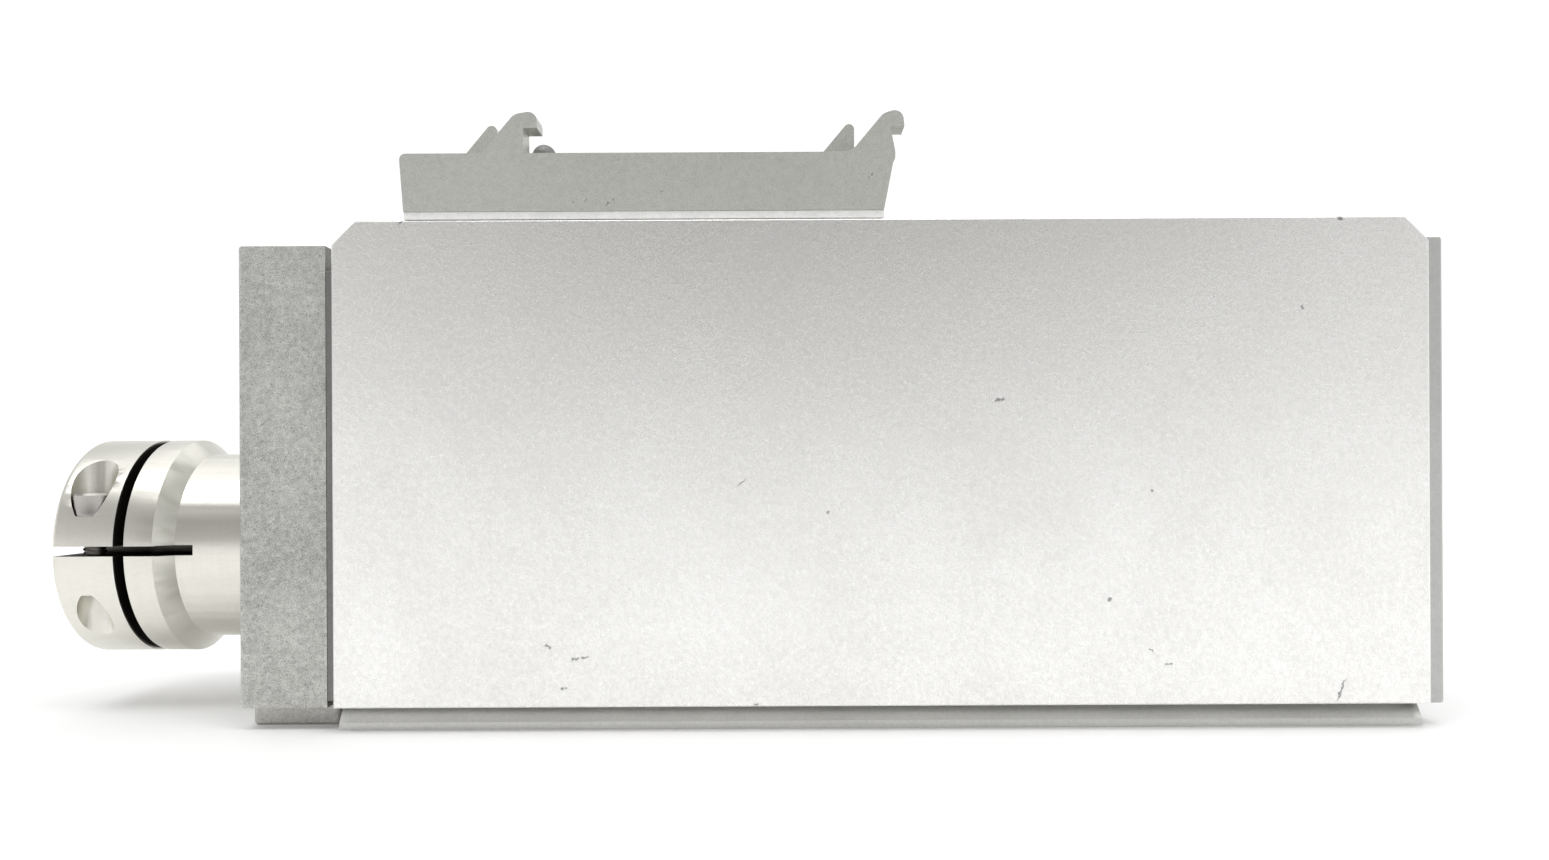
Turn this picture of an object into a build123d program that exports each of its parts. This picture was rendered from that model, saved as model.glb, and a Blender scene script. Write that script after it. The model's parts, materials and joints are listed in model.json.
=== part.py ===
from build123d import *
import math
import os

# Enclosed ball screw slide, in millimetres.
# Origin: centre of the base underside, midway between the cover ends.
# +X runs along the screw towards the idle end, -Y is the front side, +Z is up.

# ---------------------------------------------------------------- housing
HALF_LENGTH = 90.7          # base and covers, from the origin to each end
HALF_WIDTH = 30.0           # base, beams and bearing blocks; the covers sit on this face
BASE_HEIGHT = 8.0
LIP_HEIGHT = 1.3            # straight edge of the base under its clamping groove
GROOVE_DEPTH = 2.3
GROOVE_TOP = 5.6
COVER_THICKNESS = 3.0
COVER_BOTTOM = 4.2
COVER_TOP = 84.8
COVER_CHAMFER = 4.0         # cut across both top corners
COVER_EDGE = 0.3            # broken edge round the outer face
SIDES = (-1, 1)             # front, rear

BEAM_INNER = 15.0           # inner face of each rail beam, from the centre plane
BEAM_TOP = 46.0
BLOCK_TOP = 77.0            # both bearing blocks
DRIVE_BLOCK = (-92.7, -70.7)
DRIVE_BLOCK_LIP_BOTTOM = 4.9    # the drive block reaches down past the end of the base
IDLE_BLOCK = (78.7, 90.7)
TOP_COVER_HALF_WIDTH = 22.0
TOP_COVER_THICKNESS = 2.0
TOP_COVER_SPAN = (-92.5, 90.5)

END_PLATE = (-107.5, -92.7)
END_PLATE_BOTTOM = 3.8
END_PLATE_TOP = 81.2
END_PLATE_ROUND = 0.9
FOOT = (-107.1, -92.0)
FOOT_HALF_WIDTH = 25.5
FOOT_CORNER_ROUND = 1.0
IDLE_CAP = (90.7, 94.5)
IDLE_CAP_TOP = 81.8
IDLE_CAP_POCKET = (8.2, 2.2)    # radius, depth of the room for the circlip
PLATE_EDGE = 0.4            # broken edges of the smaller plates

# ---------------------------------------------------------------- screw line
AXIS_Z = 29.5
SCREW_RADIUS = 8.0
THREAD_SPAN = (-73.7, 77.0)
BEARING_JOURNAL = 6.0
HUB_JOURNAL = 5.5
IDLE_JOURNAL = 5.0
HUB_JOURNAL_SPAN = (-116.0, -97.0)
IDLE_JOURNAL_END = 92.2

HUB_END = -145.0
HUB_RADIUS = 20.0
HUB_SHOULDER = -127.2
HUB_NECK_RADIUS = 17.3
HUB_NECK_END = -97.0
HUB_EDGE_ROUND = 0.8
HUB_BORE_RADIUS = 7.0
HUB_BORE_END = -125.2
HUB_BOLT_SEAT = -120.2      # floor of the bolt head's pocket beyond the bore
CROSS_SLIT = (-134.1, -132.2)
CROSS_SLIT_DEPTH_Y = 3.0    # the slit runs from the front to just past the axis
AXIAL_SLOT_WIDTH = 1.75
AXIAL_SLOT_END = -121.4
CLAMP_SCREW_X = -139.6
CLAMP_SCREW_Y = -15.6
CLAMP_SEAT = 6.2            # seat of the clamp screw's head above the axis
CLAMP_POCKET_RADIUS = 3.75
CLAMP_LOWER_POCKET = 7.9    # ceiling of the lower pocket below the axis
CLAMP_LOWER_RADIUS = 2.9
CLAMP_SCREW_LENGTH = 14.0
HUB_BOLT_LENGTH = 12.0
SLEEVE = (-144.6, -125.2)   # split sleeve that reduces the hub's bore
SLEEVE_BORE = 5.0
SLEEVE_SPLIT = 1.2

# bearing radii: bore, outside of the inner ring, inside of the outer ring, outside
DRIVE_BEARING_WIDTH = 8.0
DRIVE_BEARING_STARTS = (-89.7, -81.7)
DRIVE_BEARING_RADII = (6.0, 8.4, 11.6, 14.0)
DRIVE_BALLS = 12
IDLE_BEARING_WIDTH = 8.0
IDLE_BEARING_START = 81.7
IDLE_BEARING_RADII = (5.0, 7.4, 10.6, 13.0)
IDLE_BALLS = 10
BALL_RADIUS = 2.35
INNER_RACE_GAP = 0.02
OUTER_RACE_GAP = 0.08

RETAINER_THICKNESS = 3.0
RETAINER_RADII = (12.0, 19.9)
RETAINER_RECESS = 20.0
RETAINER_SCREW_CIRCLE = 16.5
LOCK_NUT = (-96.2, -89.7)
LOCK_NUT_RADIUS = 10.0
LOCK_NUT_SLOT = (3.0, 4.0)      # width, length of the spanner slots
LOCK_NUT_SLOT_FLOOR = 8.5
SEAL = (-103.5, -98.5)
SEAL_RADII = (17.5, 23.0)
NECK_BORE_RADIUS = 18.0
CIRCLIP_THICKNESS = 1.0
CIRCLIP_RADII = (4.8, 7.2)
CIRCLIP_GAP = 3.0

# ---------------------------------------------------------------- guide rails and runners
RAIL_Y = 19.7
RAIL_WIDTH = 9.0
RAIL_HEIGHT = 6.5
RAIL_SPAN = (-70.2, 78.2)
RAIL_FIRST_SCREW = -66.0
RAIL_SCREW_PITCH = 20.0
RAIL_SCREW_COUNT = 8
RAIL_TRACK_RADIUS = 0.9
RAIL_TRACK_HEIGHT = 4.0
RUNNING_GAP = 0.2
RUNNER_BODY = (-48.5, -17.5)
RUNNER_CAP_LENGTH = 4.5
RUNNER_WIDTH = 20.0
RUNNER_BOTTOM = 47.7
RUNNER_TOP = 55.5
RUNNER_CAP_INSET = 0.5
RUNNER_SCREW_X = (-41.0, -25.0)
RUNNER_SCREW_OFFSET = 6.2

# ---------------------------------------------------------------- moving carriage
SADDLE = (-60.0, -6.0)
SADDLE_HALF_WIDTH = 29.3
SADDLE_TOP = 63.5
NUT = (-50.5, -15.5)
NUT_HALF_WIDTH = 14.0
NUT_BOTTOM = 16.25
NUT_TOP = 43.25
NUT_BORE_RADIUS = 8.25
NUT_CHAMFER = 2.0
WIPER_THICKNESS = 2.5
WIPER_RADII = (8.15, 10.0)
RIB_HALF_WIDTH = 9.0
NUT_SCREW_X = (-46.5, -19.5)
NUT_SCREW_Y = 6.5
RISER_INNER = 23.5
RISER_THICKNESS = 5.0
RISER_SCREW_X = (-56.5, -9.5)
BUMPER_THICKNESS = 2.7
BUMPER_RADIUS = 3.5
BUMPER_Y = 14.0

CARRIAGE_BOTTOM = 86.2
DECK_Z = 95.8               # top face of the carriage plate
CARRIAGE_HALF_WIDTH = 33.0
CARRIAGE_TOP_SPAN = (-79.4, 2.6)
CARRIAGE_BOTTOM_SPAN = (-78.7, 0.7)
CARRIAGE_CORNER_ROUND = 1.0
CARRIAGE_SCREW_X = (-50.0, -33.0, -16.0)
GLIDE_STRIP_Y = (29.7, 32.8)
GLIDE_STRIP_GAP = 0.1       # the strips run just clear of the covers' top edges

# hooks: a ramp runs up into a round crown with a short nose
RAMP_ANGLE = 49.9
CROWN_RADIUS = 2.2
CROWN_CENTRE_Z = 4.4        # above the deck
HOOK_CROWNS_X = (-59.2, 1.9)
TIP_RADIUS = 1.5            # the nose ends in a smaller round that widens the crown
HOOK_TIPS_X = (1.15, 0.6)   # its centre from the crown centre: drive end, idle end
TIP_RISE = 0.2              # its top above the crown's
NOSE_UNDERSIDE = 4.1
HOOK_NECK_TOP = (0.4, -0.1)     # neck from the crown centre, under the nose: drive end, idle end
HOOK_NECK_FOOT = (0.4, 0.7)     # the same neck where it meets the deck
HOOK_ROW_Y = (28.0, 33.0)
FOOT_ROUND = 2.5            # concave round at the idle end hooks' ramp
FIN_SHIFT_X = -6.5          # the second row stands this far from the first
FIN_CROWN_RADIUS = 0.9
FIN_HEIGHT = 6.6
FIN_ROW_Y = (22.2, 25.8)
PIN_X = -57.1
PIN_Y = 23.75
PIN_RADIUS = 2.05
PIN_HEIGHT = 3.8
PIN_DEPTH = 5.0

# ---------------------------------------------------------------- fasteners
# socket screws, thread size: (head radius, head height, key size across flats)
SOCKET_HEADS = {3: (2.75, 3.0, 2.5), 4: (3.5, 4.0, 3.0), 5: (4.25, 5.0, 4.0)}
# countersunk screws, thread size: (head radius, head height, key size across flats)
FLAT_HEADS = {3: (3.0, 1.7, 2.0), 4: (4.0, 2.3, 2.5)}
HEAD_RIM = 0.08             # chamfer of a socket head, as a share of its height
SOCKET_DEPTH = 0.55         # key socket, as a share of the head height
FLAT_SOCKET_DEPTH = 0.7
HEAD_CLEARANCE = 0.25       # round a head in its pocket
SHANK_CLEARANCE = 0.25      # round a shank in a through hole
HEAD_SINK = 0.2             # below the face over a sunk head

BASE_SCREW_X = (-60.0, -20.0, 20.0, 60.0)
BASE_SCREW_Y = 22.5
BLOCK_SCREW_Y = 22.0
BASE_SCREW_LENGTH = 12.0
END_SCREW_Y = 25.0
END_SCREW_Z = (11.5, 71.0)
END_SCREW_LENGTH = 18.0
CAP_SCREW_Y = 24.0
CAP_SCREW_Z = (22.0, 70.0)
CAP_SCREW_LENGTH = 12.0
FOOT_SCREW_X = -99.5
FOOT_SCREW_Y = 12.0
FOOT_SCREW_LENGTH = 8.0
TOP_COVER_SCREW_X = (-85.0, 84.7)
TOP_COVER_SCREW_Y = 16.0
STUD_X = (-50.0, 58.0)
STUD_Z = (22.0, 36.0)
STUD_HEAD = (3.0, 1.8)      # radius, thickness of the concealed head
STUD_RADIUS = 2.0
STUD_TIP_Y = 15.8
STUD_NUT_THICKNESS = 3.2
STUD_NUT_FLATS = 7.0
STUD_NUT_POCKET = 4.3
STUD_NUT_FACE = 19.5

# outside mounting holes
BASE_HOLE_SPACING = (90.0, 45.0)
BASE_HOLE_RADIUS = 2.5
DOWEL_X = 60.0
DOWEL_RADIUS = 2.0
MOTOR_HOLE_SPACING = (36.0, 40.0)
MOTOR_HOLE_RADIUS = 1.65
MOTOR_HOLE_DEPTH = 10.0
DECK_CENTRE_X = -33.0
DECK_HOLE_SPACING = (40.0, 24.0)
DECK_HOLE_RADIUS = 1.65
CAMERA_HOLE_RADIUS = 2.55
DECK_HOLE_DEPTH = 8.0

BEYOND = 1.0                # how far a cutting shape runs past a face
FACING_DOWN = Rot(180, 0, 0)
FACING_DRIVE = Rot(0, -90, 0)
FACING_IDLE = Rot(0, 90, 0)


# ---------------------------------------------------------------- shapes
def block(x_span, y_span, z_span):
    """Rectangular block between two corners."""
    size = [high - low for low, high in (x_span, y_span, z_span)]
    centre = [(low + high) / 2 for low, high in (x_span, y_span, z_span)]
    return Pos(*centre) * Box(*size)


def rod_x(radius, start, end, y=0.0, z=AXIS_Z):
    """Cylinder along X, on the screw axis unless told otherwise."""
    return Pos((start + end) / 2, y, z) * Rot(0, 90, 0) * Cylinder(radius, end - start)


def rod_y(radius, start, end, x, z):
    """Cylinder along Y."""
    return Pos(x, (start + end) / 2, z) * Rot(90, 0, 0) * Cylinder(radius, end - start)


def rod_z(radius, bottom, top, x, y):
    """Cylinder along Z."""
    return Pos(x, y, (bottom + top) / 2) * Cylinder(radius, top - bottom)


def tube_x(inner, outer, start, end):
    """Ring on the screw axis."""
    return rod_x(outer, start, end) - rod_x(inner, start - BEYOND, end + BEYOND)


def side_span(side, near, far):
    """Y span between two distances from the centre plane, on the front or the rear side."""
    return tuple(sorted((side * near, side * far)))


def prism_x(face, x_span):
    """Extrude a face drawn in Y and Z along X."""
    start, end = x_span
    plane = Plane(origin=(start, 0, 0), x_dir=(0, 1, 0), z_dir=(1, 0, 0))
    return extrude(plane * face, amount=end - start)


def prism_y(face, y_span):
    """Extrude a face drawn in X and Z along Y."""
    start, end = y_span
    plane = Plane(origin=(0, end, 0), x_dir=(1, 0, 0), z_dir=(0, -1, 0))
    return extrude(plane * face, amount=end - start)


def outline(*points):
    """Face inside a closed run of straight edges."""
    return make_face(Polyline(*points, close=True))


def grid(x_values, y_values, z_values):
    """Every place where the given X, Y and Z values meet."""
    return [(x, y, z) for x in x_values for y in y_values for z in z_values]


def placed(shape, places, turn=None):
    """Copies of one shape at several places, each turned the same way."""
    turned = turn * shape if turn else shape
    return [Pos(*place) * turned for place in places]


def cut(body, tools):
    """Body less every tool."""
    for tool in tools:
        body = body - tool
    return body


# ---------------------------------------------------------------- fasteners
def socket_screw(size, length):
    """Socket head cap screw: the head stands on Z = 0, the shank hangs below."""
    head_radius, head_height, key = SOCKET_HEADS[size]
    head = Pos(0, 0, head_height / 2) * Cylinder(head_radius, head_height)
    top_edge = head.edges().filter_by(GeomType.CIRCLE).sort_by(Axis.Z)[-1]
    head = chamfer(top_edge, head_height * HEAD_RIM)
    socket_depth = head_height * SOCKET_DEPTH
    socket = extrude(RegularPolygon(key / 2, 6, major_radius=False), amount=socket_depth + BEYOND)
    shank = Pos(0, 0, -length / 2) * Cylinder(size / 2, length)
    return head + shank - Pos(0, 0, head_height - socket_depth) * socket


def socket_clearance(size, reach, above):
    """Room for a socket screw: a head pocket above Z = 0 and a shank hole below."""
    pocket = Pos(0, 0, above / 2) * Cylinder(SOCKET_HEADS[size][0] + HEAD_CLEARANCE, above)
    hole = Pos(0, 0, -reach / 2) * Cylinder(size / 2 + SHANK_CLEARANCE, reach)
    return pocket + hole


def flat_screw(size, length):
    """Countersunk screw: the head's top is at Z = 0, the shank hangs below."""
    head_radius, head_height, key = FLAT_HEADS[size]
    head = Pos(0, 0, -head_height / 2) * Cone(size / 2, head_radius, head_height)
    shank = Pos(0, 0, -(head_height + length) / 2) * Cylinder(size / 2, length - head_height)
    socket_depth = head_height * FLAT_SOCKET_DEPTH
    socket = extrude(RegularPolygon(key / 2, 6, major_radius=False), amount=socket_depth + BEYOND)
    return head + shank - Pos(0, 0, -socket_depth) * socket


def flat_seat(size, reach):
    """Countersink and hole that a flat screw fits exactly, its face HEAD_SINK below the surface."""
    head_radius, head_height, _ = FLAT_HEADS[size]
    head = Pos(0, 0, -head_height / 2) * Cone(size / 2, head_radius, head_height)
    mouth = Pos(0, 0, BEYOND / 2) * Cylinder(head_radius, BEYOND)
    hole = Pos(0, 0, -(head_height + reach) / 2) * Cylinder(size / 2, reach - head_height)
    return head + mouth + hole


def tapped(size, depth):
    """Threaded hole, at the thread's outside size, below Z = 0."""
    return Pos(0, 0, -depth / 2) * Cylinder(size / 2, depth)


# screw seats, worked out from the plates that they go through
BASE_SEAT_Z = SOCKET_HEADS[4][1] + HEAD_SINK
BASE_THREAD_DEPTH = BASE_SEAT_Z + BASE_SCREW_LENGTH - BASE_HEIGHT
END_SEAT_X = END_PLATE[0] + SOCKET_HEADS[4][1] + HEAD_SINK
END_THREAD_DEPTH = END_SEAT_X + END_SCREW_LENGTH - END_PLATE[1]
RAIL_TOP = BEAM_TOP + RAIL_HEIGHT
RAIL_SEAT_Z = RAIL_TOP - SOCKET_HEADS[3][1] - HEAD_SINK
RAIL_SCREW_LENGTH = 8.0
RUNNER_SEAT_Z = SADDLE_TOP - SOCKET_HEADS[3][1] - HEAD_SINK
RUNNER_SCREW_LENGTH = 8.0
NUT_SEAT_Z = SADDLE_TOP - SOCKET_HEADS[4][1] - HEAD_SINK
NUT_SCREW_LENGTH = 20.0
RISER_SEAT_Z = RUNNER_TOP + SOCKET_HEADS[3][1] + HEAD_SINK
RISER_SCREW_LENGTH = 12.0
RISER_Y = RISER_INNER + RISER_THICKNESS / 2
CARRIAGE_SEAT_Z = DECK_Z - SOCKET_HEADS[3][1] - HEAD_SINK
CARRIAGE_SCREW_LENGTH = 12.0
RETAINER_SCREW_LENGTH = 8.0
TOP_COVER_SCREW_LENGTH = 10.0

base_screw_places = grid(BASE_SCREW_X, (-BASE_SCREW_Y, BASE_SCREW_Y), (BASE_SEAT_Z,))
drive_block_x = sum(DRIVE_BLOCK) / 2
idle_block_x = sum(IDLE_BLOCK) / 2
block_screw_places = grid(
    (drive_block_x, idle_block_x), (-BLOCK_SCREW_Y, BLOCK_SCREW_Y), (BASE_SEAT_Z,)
)
end_screw_places = grid((END_SEAT_X,), (-END_SCREW_Y, END_SCREW_Y), END_SCREW_Z)
cap_screw_places = grid((IDLE_CAP[1] - HEAD_SINK,), (-CAP_SCREW_Y, CAP_SCREW_Y), CAP_SCREW_Z)
foot_screw_places = grid((FOOT_SCREW_X,), (-FOOT_SCREW_Y, FOOT_SCREW_Y), (HEAD_SINK,))
top_cover_top = BLOCK_TOP + TOP_COVER_THICKNESS
top_cover_screw_places = grid(
    TOP_COVER_SCREW_X, (-TOP_COVER_SCREW_Y, TOP_COVER_SCREW_Y), (top_cover_top,)
)
rail_screw_xs = [RAIL_FIRST_SCREW + RAIL_SCREW_PITCH * i for i in range(RAIL_SCREW_COUNT)]
runner_ys = [
    side * (RAIL_Y + offset)
    for side in SIDES
    for offset in (-RUNNER_SCREW_OFFSET, RUNNER_SCREW_OFFSET)
]
runner_screw_places = grid(RUNNER_SCREW_X, runner_ys, (RUNNER_SEAT_Z,))
nut_screw_places = grid(NUT_SCREW_X, (-NUT_SCREW_Y, NUT_SCREW_Y), (NUT_SEAT_Z,))
riser_screw_places = grid(RISER_SCREW_X, (-RISER_Y, RISER_Y), (RISER_SEAT_Z,))
carriage_screw_places = grid(CARRIAGE_SCREW_X, (-RISER_Y, RISER_Y), (CARRIAGE_SEAT_Z,))
retainer_screw_places = [
    (
        DRIVE_BLOCK[0],
        RETAINER_SCREW_CIRCLE * math.cos(math.radians(angle)),
        AXIS_Z + RETAINER_SCREW_CIRCLE * math.sin(math.radians(angle)),
    )
    for angle in (45, 135, 225, 315)
]


# ---------------------------------------------------------------- housing pieces
def base_plate():
    """Flat base with a clamping groove along both sides, screwed from below."""
    groove_floor = HALF_WIDTH - GROOVE_DEPTH
    right = [
        (HALF_WIDTH, 0),
        (HALF_WIDTH, LIP_HEIGHT),
        (groove_floor, COVER_BOTTOM),
        (groove_floor, GROOVE_TOP),
        (HALF_WIDTH, GROOVE_TOP),
        (HALF_WIDTH, BASE_HEIGHT),
    ]
    left = [(-y, z) for y, z in reversed(right)]
    body = prism_x(outline(*right, *left), (-HALF_LENGTH, HALF_LENGTH))
    head_room = socket_clearance(4, BASE_HEIGHT, BASE_SEAT_Z + BEYOND)
    body = cut(body, placed(head_room, base_screw_places + block_screw_places, FACING_DOWN))
    half_x, half_y = (spacing / 2 for spacing in BASE_HOLE_SPACING)
    for x, y, _ in grid((-half_x, half_x), (-half_y, half_y), (0,)):
        body = body - rod_z(BASE_HOLE_RADIUS, -BEYOND, BASE_HEIGHT + BEYOND, x, y)
    for x in (-DOWEL_X, DOWEL_X):
        body = body - rod_z(DOWEL_RADIUS, -BEYOND, BASE_HEIGHT + BEYOND, x, 0)
    return body


def side_cover(side):
    """Plain plate with chamfered top corners and blind seats for concealed studs."""
    face = outline(
        (-HALF_LENGTH, COVER_BOTTOM),
        (HALF_LENGTH, COVER_BOTTOM),
        (HALF_LENGTH, COVER_TOP - COVER_CHAMFER),
        (HALF_LENGTH - COVER_CHAMFER, COVER_TOP),
        (-HALF_LENGTH + COVER_CHAMFER, COVER_TOP),
        (-HALF_LENGTH, COVER_TOP - COVER_CHAMFER),
    )
    outer = HALF_WIDTH + COVER_THICKNESS
    body = prism_y(face, side_span(side, HALF_WIDTH, outer))
    outer_edges = body.edges().filter_by_position(Axis.Y, side * outer, side * outer)
    body = chamfer(outer_edges, COVER_EDGE)
    radius, thickness = STUD_HEAD
    for x, z in [(x, z) for x in STUD_X for z in STUD_Z]:
        body = body - rod_y(radius, *side_span(side, HALF_WIDTH - BEYOND, HALF_WIDTH + thickness), x, z)
    return body


def cover_stud(side, x, z):
    """Concealed-head stud: its head lies in the cover, its shank runs inwards."""
    radius, thickness = STUD_HEAD
    head = rod_y(radius, *side_span(side, HALF_WIDTH, HALF_WIDTH + thickness), x, z)
    return head + rod_y(STUD_RADIUS, *side_span(side, STUD_TIP_Y, HALF_WIDTH), x, z)


def cover_nut(side, x, z):
    """Hexagon nut on a cover stud, inside its pocket in the beam."""
    face = RegularPolygon(STUD_NUT_FLATS / 2, 6, major_radius=False)
    near = STUD_NUT_FACE - STUD_NUT_THICKNESS
    body = prism_y(Pos(x, z) * face, side_span(side, near, STUD_NUT_FACE))
    return body - rod_y(STUD_RADIUS, *side_span(side, near - BEYOND, STUD_NUT_FACE + BEYOND), x, z)


def rail_beam(side):
    """Solid beam that carries one guide rail and one side cover."""
    span = (DRIVE_BLOCK[1], IDLE_BLOCK[0])
    body = block(span, side_span(side, BEAM_INNER, HALF_WIDTH), (BASE_HEIGHT, BEAM_TOP))
    for x in BASE_SCREW_X:
        body = body - Pos(x, side * BASE_SCREW_Y, BASE_HEIGHT) * FACING_DOWN * tapped(4, BASE_THREAD_DEPTH)
    rail_thread = RAIL_SCREW_LENGTH - (RAIL_SEAT_Z - BEAM_TOP)
    for x in rail_screw_xs:
        body = body - Pos(x, side * RAIL_Y, BEAM_TOP) * tapped(3, rail_thread)
    for x, z in [(x, z) for x in STUD_X for z in STUD_Z]:
        hole_radius = STUD_RADIUS + SHANK_CLEARANCE
        body = body - rod_y(hole_radius, *side_span(side, BEAM_INNER - BEYOND, HALF_WIDTH + BEYOND), x, z)
        body = body - rod_y(STUD_NUT_POCKET, *side_span(side, BEAM_INNER - BEYOND, STUD_NUT_FACE), x, z)
    return body


def bearing_block(span, screw_x):
    """Cross block on the base, before its bore is cut."""
    body = block(span, (-HALF_WIDTH, HALF_WIDTH), (BASE_HEIGHT, BLOCK_TOP))
    foot_places = grid((screw_x,), (-BLOCK_SCREW_Y, BLOCK_SCREW_Y), (BASE_HEIGHT,))
    return cut(body, placed(tapped(4, BASE_THREAD_DEPTH), foot_places, FACING_DOWN))


def cover_threads(x):
    """Threads for the top cover's screws in the top of a bearing block."""
    depth = TOP_COVER_SCREW_LENGTH - TOP_COVER_THICKNESS
    places = grid((x,), (-TOP_COVER_SCREW_Y, TOP_COVER_SCREW_Y), (BLOCK_TOP,))
    return placed(tapped(3, depth), places)


def drive_bearing_block():
    """Holds the bearing pair, its retainer and the drive end plate."""
    body = bearing_block(DRIVE_BLOCK, drive_block_x)
    start, end = DRIVE_BLOCK
    lip = block((start, -HALF_LENGTH), (-HALF_WIDTH, HALF_WIDTH), (DRIVE_BLOCK_LIP_BOTTOM, BASE_HEIGHT))
    body = body + lip
    seat_end = DRIVE_BEARING_STARTS[-1] + DRIVE_BEARING_WIDTH
    body = body - rod_x(RETAINER_RECESS, start - BEYOND, start + RETAINER_THICKNESS)
    body = body - rod_x(DRIVE_BEARING_RADII[3], start, seat_end)
    body = body - rod_x(DRIVE_BEARING_RADII[2] - BEYOND, start, end + BEYOND)
    thread = RETAINER_SCREW_LENGTH - RETAINER_THICKNESS
    places = [(start + RETAINER_THICKNESS, y, z) for _, y, z in retainer_screw_places]
    body = cut(body, placed(tapped(3, thread), places, FACING_DRIVE))
    places = [(start, y, z) for _, y, z in end_screw_places]
    body = cut(body, placed(tapped(4, END_THREAD_DEPTH), places, FACING_DRIVE))
    return cut(body, cover_threads(TOP_COVER_SCREW_X[0]))


def idle_bearing_block():
    """Holds the floating bearing and the idle end cap."""
    body = bearing_block(IDLE_BLOCK, idle_block_x)
    start, end = IDLE_BLOCK
    body = body - rod_x(IDLE_BEARING_RADII[3], IDLE_BEARING_START, end + BEYOND)
    body = body - rod_x(IDLE_BEARING_RADII[2] - BEYOND, start - BEYOND, end)
    thread = CAP_SCREW_LENGTH - (IDLE_CAP[1] - HEAD_SINK - IDLE_CAP[0])
    places = [(end, y, z) for _, y, z in cap_screw_places]
    body = cut(body, placed(tapped(4, thread), places, FACING_IDLE))
    return cut(body, cover_threads(TOP_COVER_SCREW_X[1]))


def drive_end_plate():
    """Thick plate over the drive block, bored for the hub neck and its seal."""
    start, end = END_PLATE
    body = block(END_PLATE, (-HALF_WIDTH, HALF_WIDTH), (END_PLATE_BOTTOM, END_PLATE_TOP))
    body = fillet(body.faces().sort_by(Axis.X)[0].edges(), END_PLATE_ROUND)
    body = body - rod_x(NECK_BORE_RADIUS, start - BEYOND, end + BEYOND)
    body = body - rod_x(SEAL_RADII[1], SEAL[0], end + BEYOND)
    head_room = socket_clearance(4, END_SCREW_LENGTH, SOCKET_HEADS[4][1] + BEYOND)
    body = cut(body, placed(head_room, end_screw_places, FACING_DRIVE))
    half_y, half_z = (spacing / 2 for spacing in MOTOR_HOLE_SPACING)
    for _, y, z in grid((0,), (-half_y, half_y), (AXIS_Z - half_z, AXIS_Z + half_z)):
        body = body - rod_x(MOTOR_HOLE_RADIUS, start - BEYOND, start + MOTOR_HOLE_DEPTH, y, z)
    thread = FOOT_SCREW_LENGTH + HEAD_SINK - END_PLATE_BOTTOM
    places = [(x, y, END_PLATE_BOTTOM) for x, y, _ in foot_screw_places]
    return cut(body, placed(tapped(3, thread), places, FACING_DOWN))


def drive_end_foot():
    """Thin block under the drive end plate, level with the base."""
    y_span = (-FOOT_HALF_WIDTH, FOOT_HALF_WIDTH)
    body = block(FOOT, y_span, (0, END_PLATE_BOTTOM))
    body = fillet(body.edges().filter_by(Axis.Z), FOOT_CORNER_ROUND)
    body = chamfer(body.faces().sort_by(Axis.Z)[0].edges(), PLATE_EDGE)
    return cut(body, placed(flat_seat(3, FOOT_SCREW_LENGTH), foot_screw_places, FACING_DOWN))


def idle_end_cap():
    """Thin plate that closes the idle bearing."""
    start, end = IDLE_CAP
    body = block(IDLE_CAP, (-HALF_WIDTH, HALF_WIDTH), (END_PLATE_BOTTOM, IDLE_CAP_TOP))
    body = chamfer(body.faces().sort_by(Axis.X)[-1].edges(), PLATE_EDGE)
    radius, depth = IDLE_CAP_POCKET
    body = body - rod_x(radius, start - BEYOND, start + depth)
    return cut(body, placed(flat_seat(4, CAP_SCREW_LENGTH), cap_screw_places, FACING_IDLE))


def top_cover():
    """Inner sheet between the bearing blocks, with a slot left at each side for the risers."""
    y_span = (-TOP_COVER_HALF_WIDTH, TOP_COVER_HALF_WIDTH)
    body = block(TOP_COVER_SPAN, y_span, (BLOCK_TOP, top_cover_top))
    hole = Cylinder(3 / 2 + SHANK_CLEARANCE, TOP_COVER_THICKNESS + 2 * BEYOND)
    places = [(x, y, BLOCK_TOP + TOP_COVER_THICKNESS / 2) for x, y, _ in top_cover_screw_places]
    return cut(body, placed(hole, places))


def rail_profile(side):
    """Rail section in Y and Z, with a ball track along each flank."""
    centre = side * RAIL_Y
    half = RAIL_WIDTH / 2
    face = outline(
        (centre - half, BEAM_TOP),
        (centre + half, BEAM_TOP),
        (centre + half, RAIL_TOP),
        (centre - half, RAIL_TOP),
    )
    for flank in (-half, half):
        face = face - Pos(centre + flank, BEAM_TOP + RAIL_TRACK_HEIGHT) * Circle(RAIL_TRACK_RADIUS)
    return face


def guide_rail(side):
    """Profile rail with a row of counterbored holes."""
    body = prism_x(rail_profile(side), RAIL_SPAN)
    head_room = socket_clearance(3, RAIL_HEIGHT, SOCKET_HEADS[3][1] + BEYOND)
    places = [(x, side * RAIL_Y, RAIL_SEAT_Z) for x in rail_screw_xs]
    return cut(body, placed(head_room, places))


def bearing_retainer():
    """Ring that holds the outer rings of the bearing pair."""
    start = DRIVE_BLOCK[0]
    body = tube_x(*RETAINER_RADII, start, start + RETAINER_THICKNESS)
    hole = Cylinder(3 / 2 + SHANK_CLEARANCE, 2 * (RETAINER_THICKNESS + BEYOND))
    return cut(body, placed(hole, retainer_screw_places, FACING_DRIVE))


def race(start, width, radii, gap):
    """Ring-shaped ball track of a bearing."""
    pitch = (radii[1] + radii[2]) / 2
    return Pos(start + width / 2, 0, AXIS_Z) * Rot(0, 90, 0) * Torus(pitch, BALL_RADIUS + gap)


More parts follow.
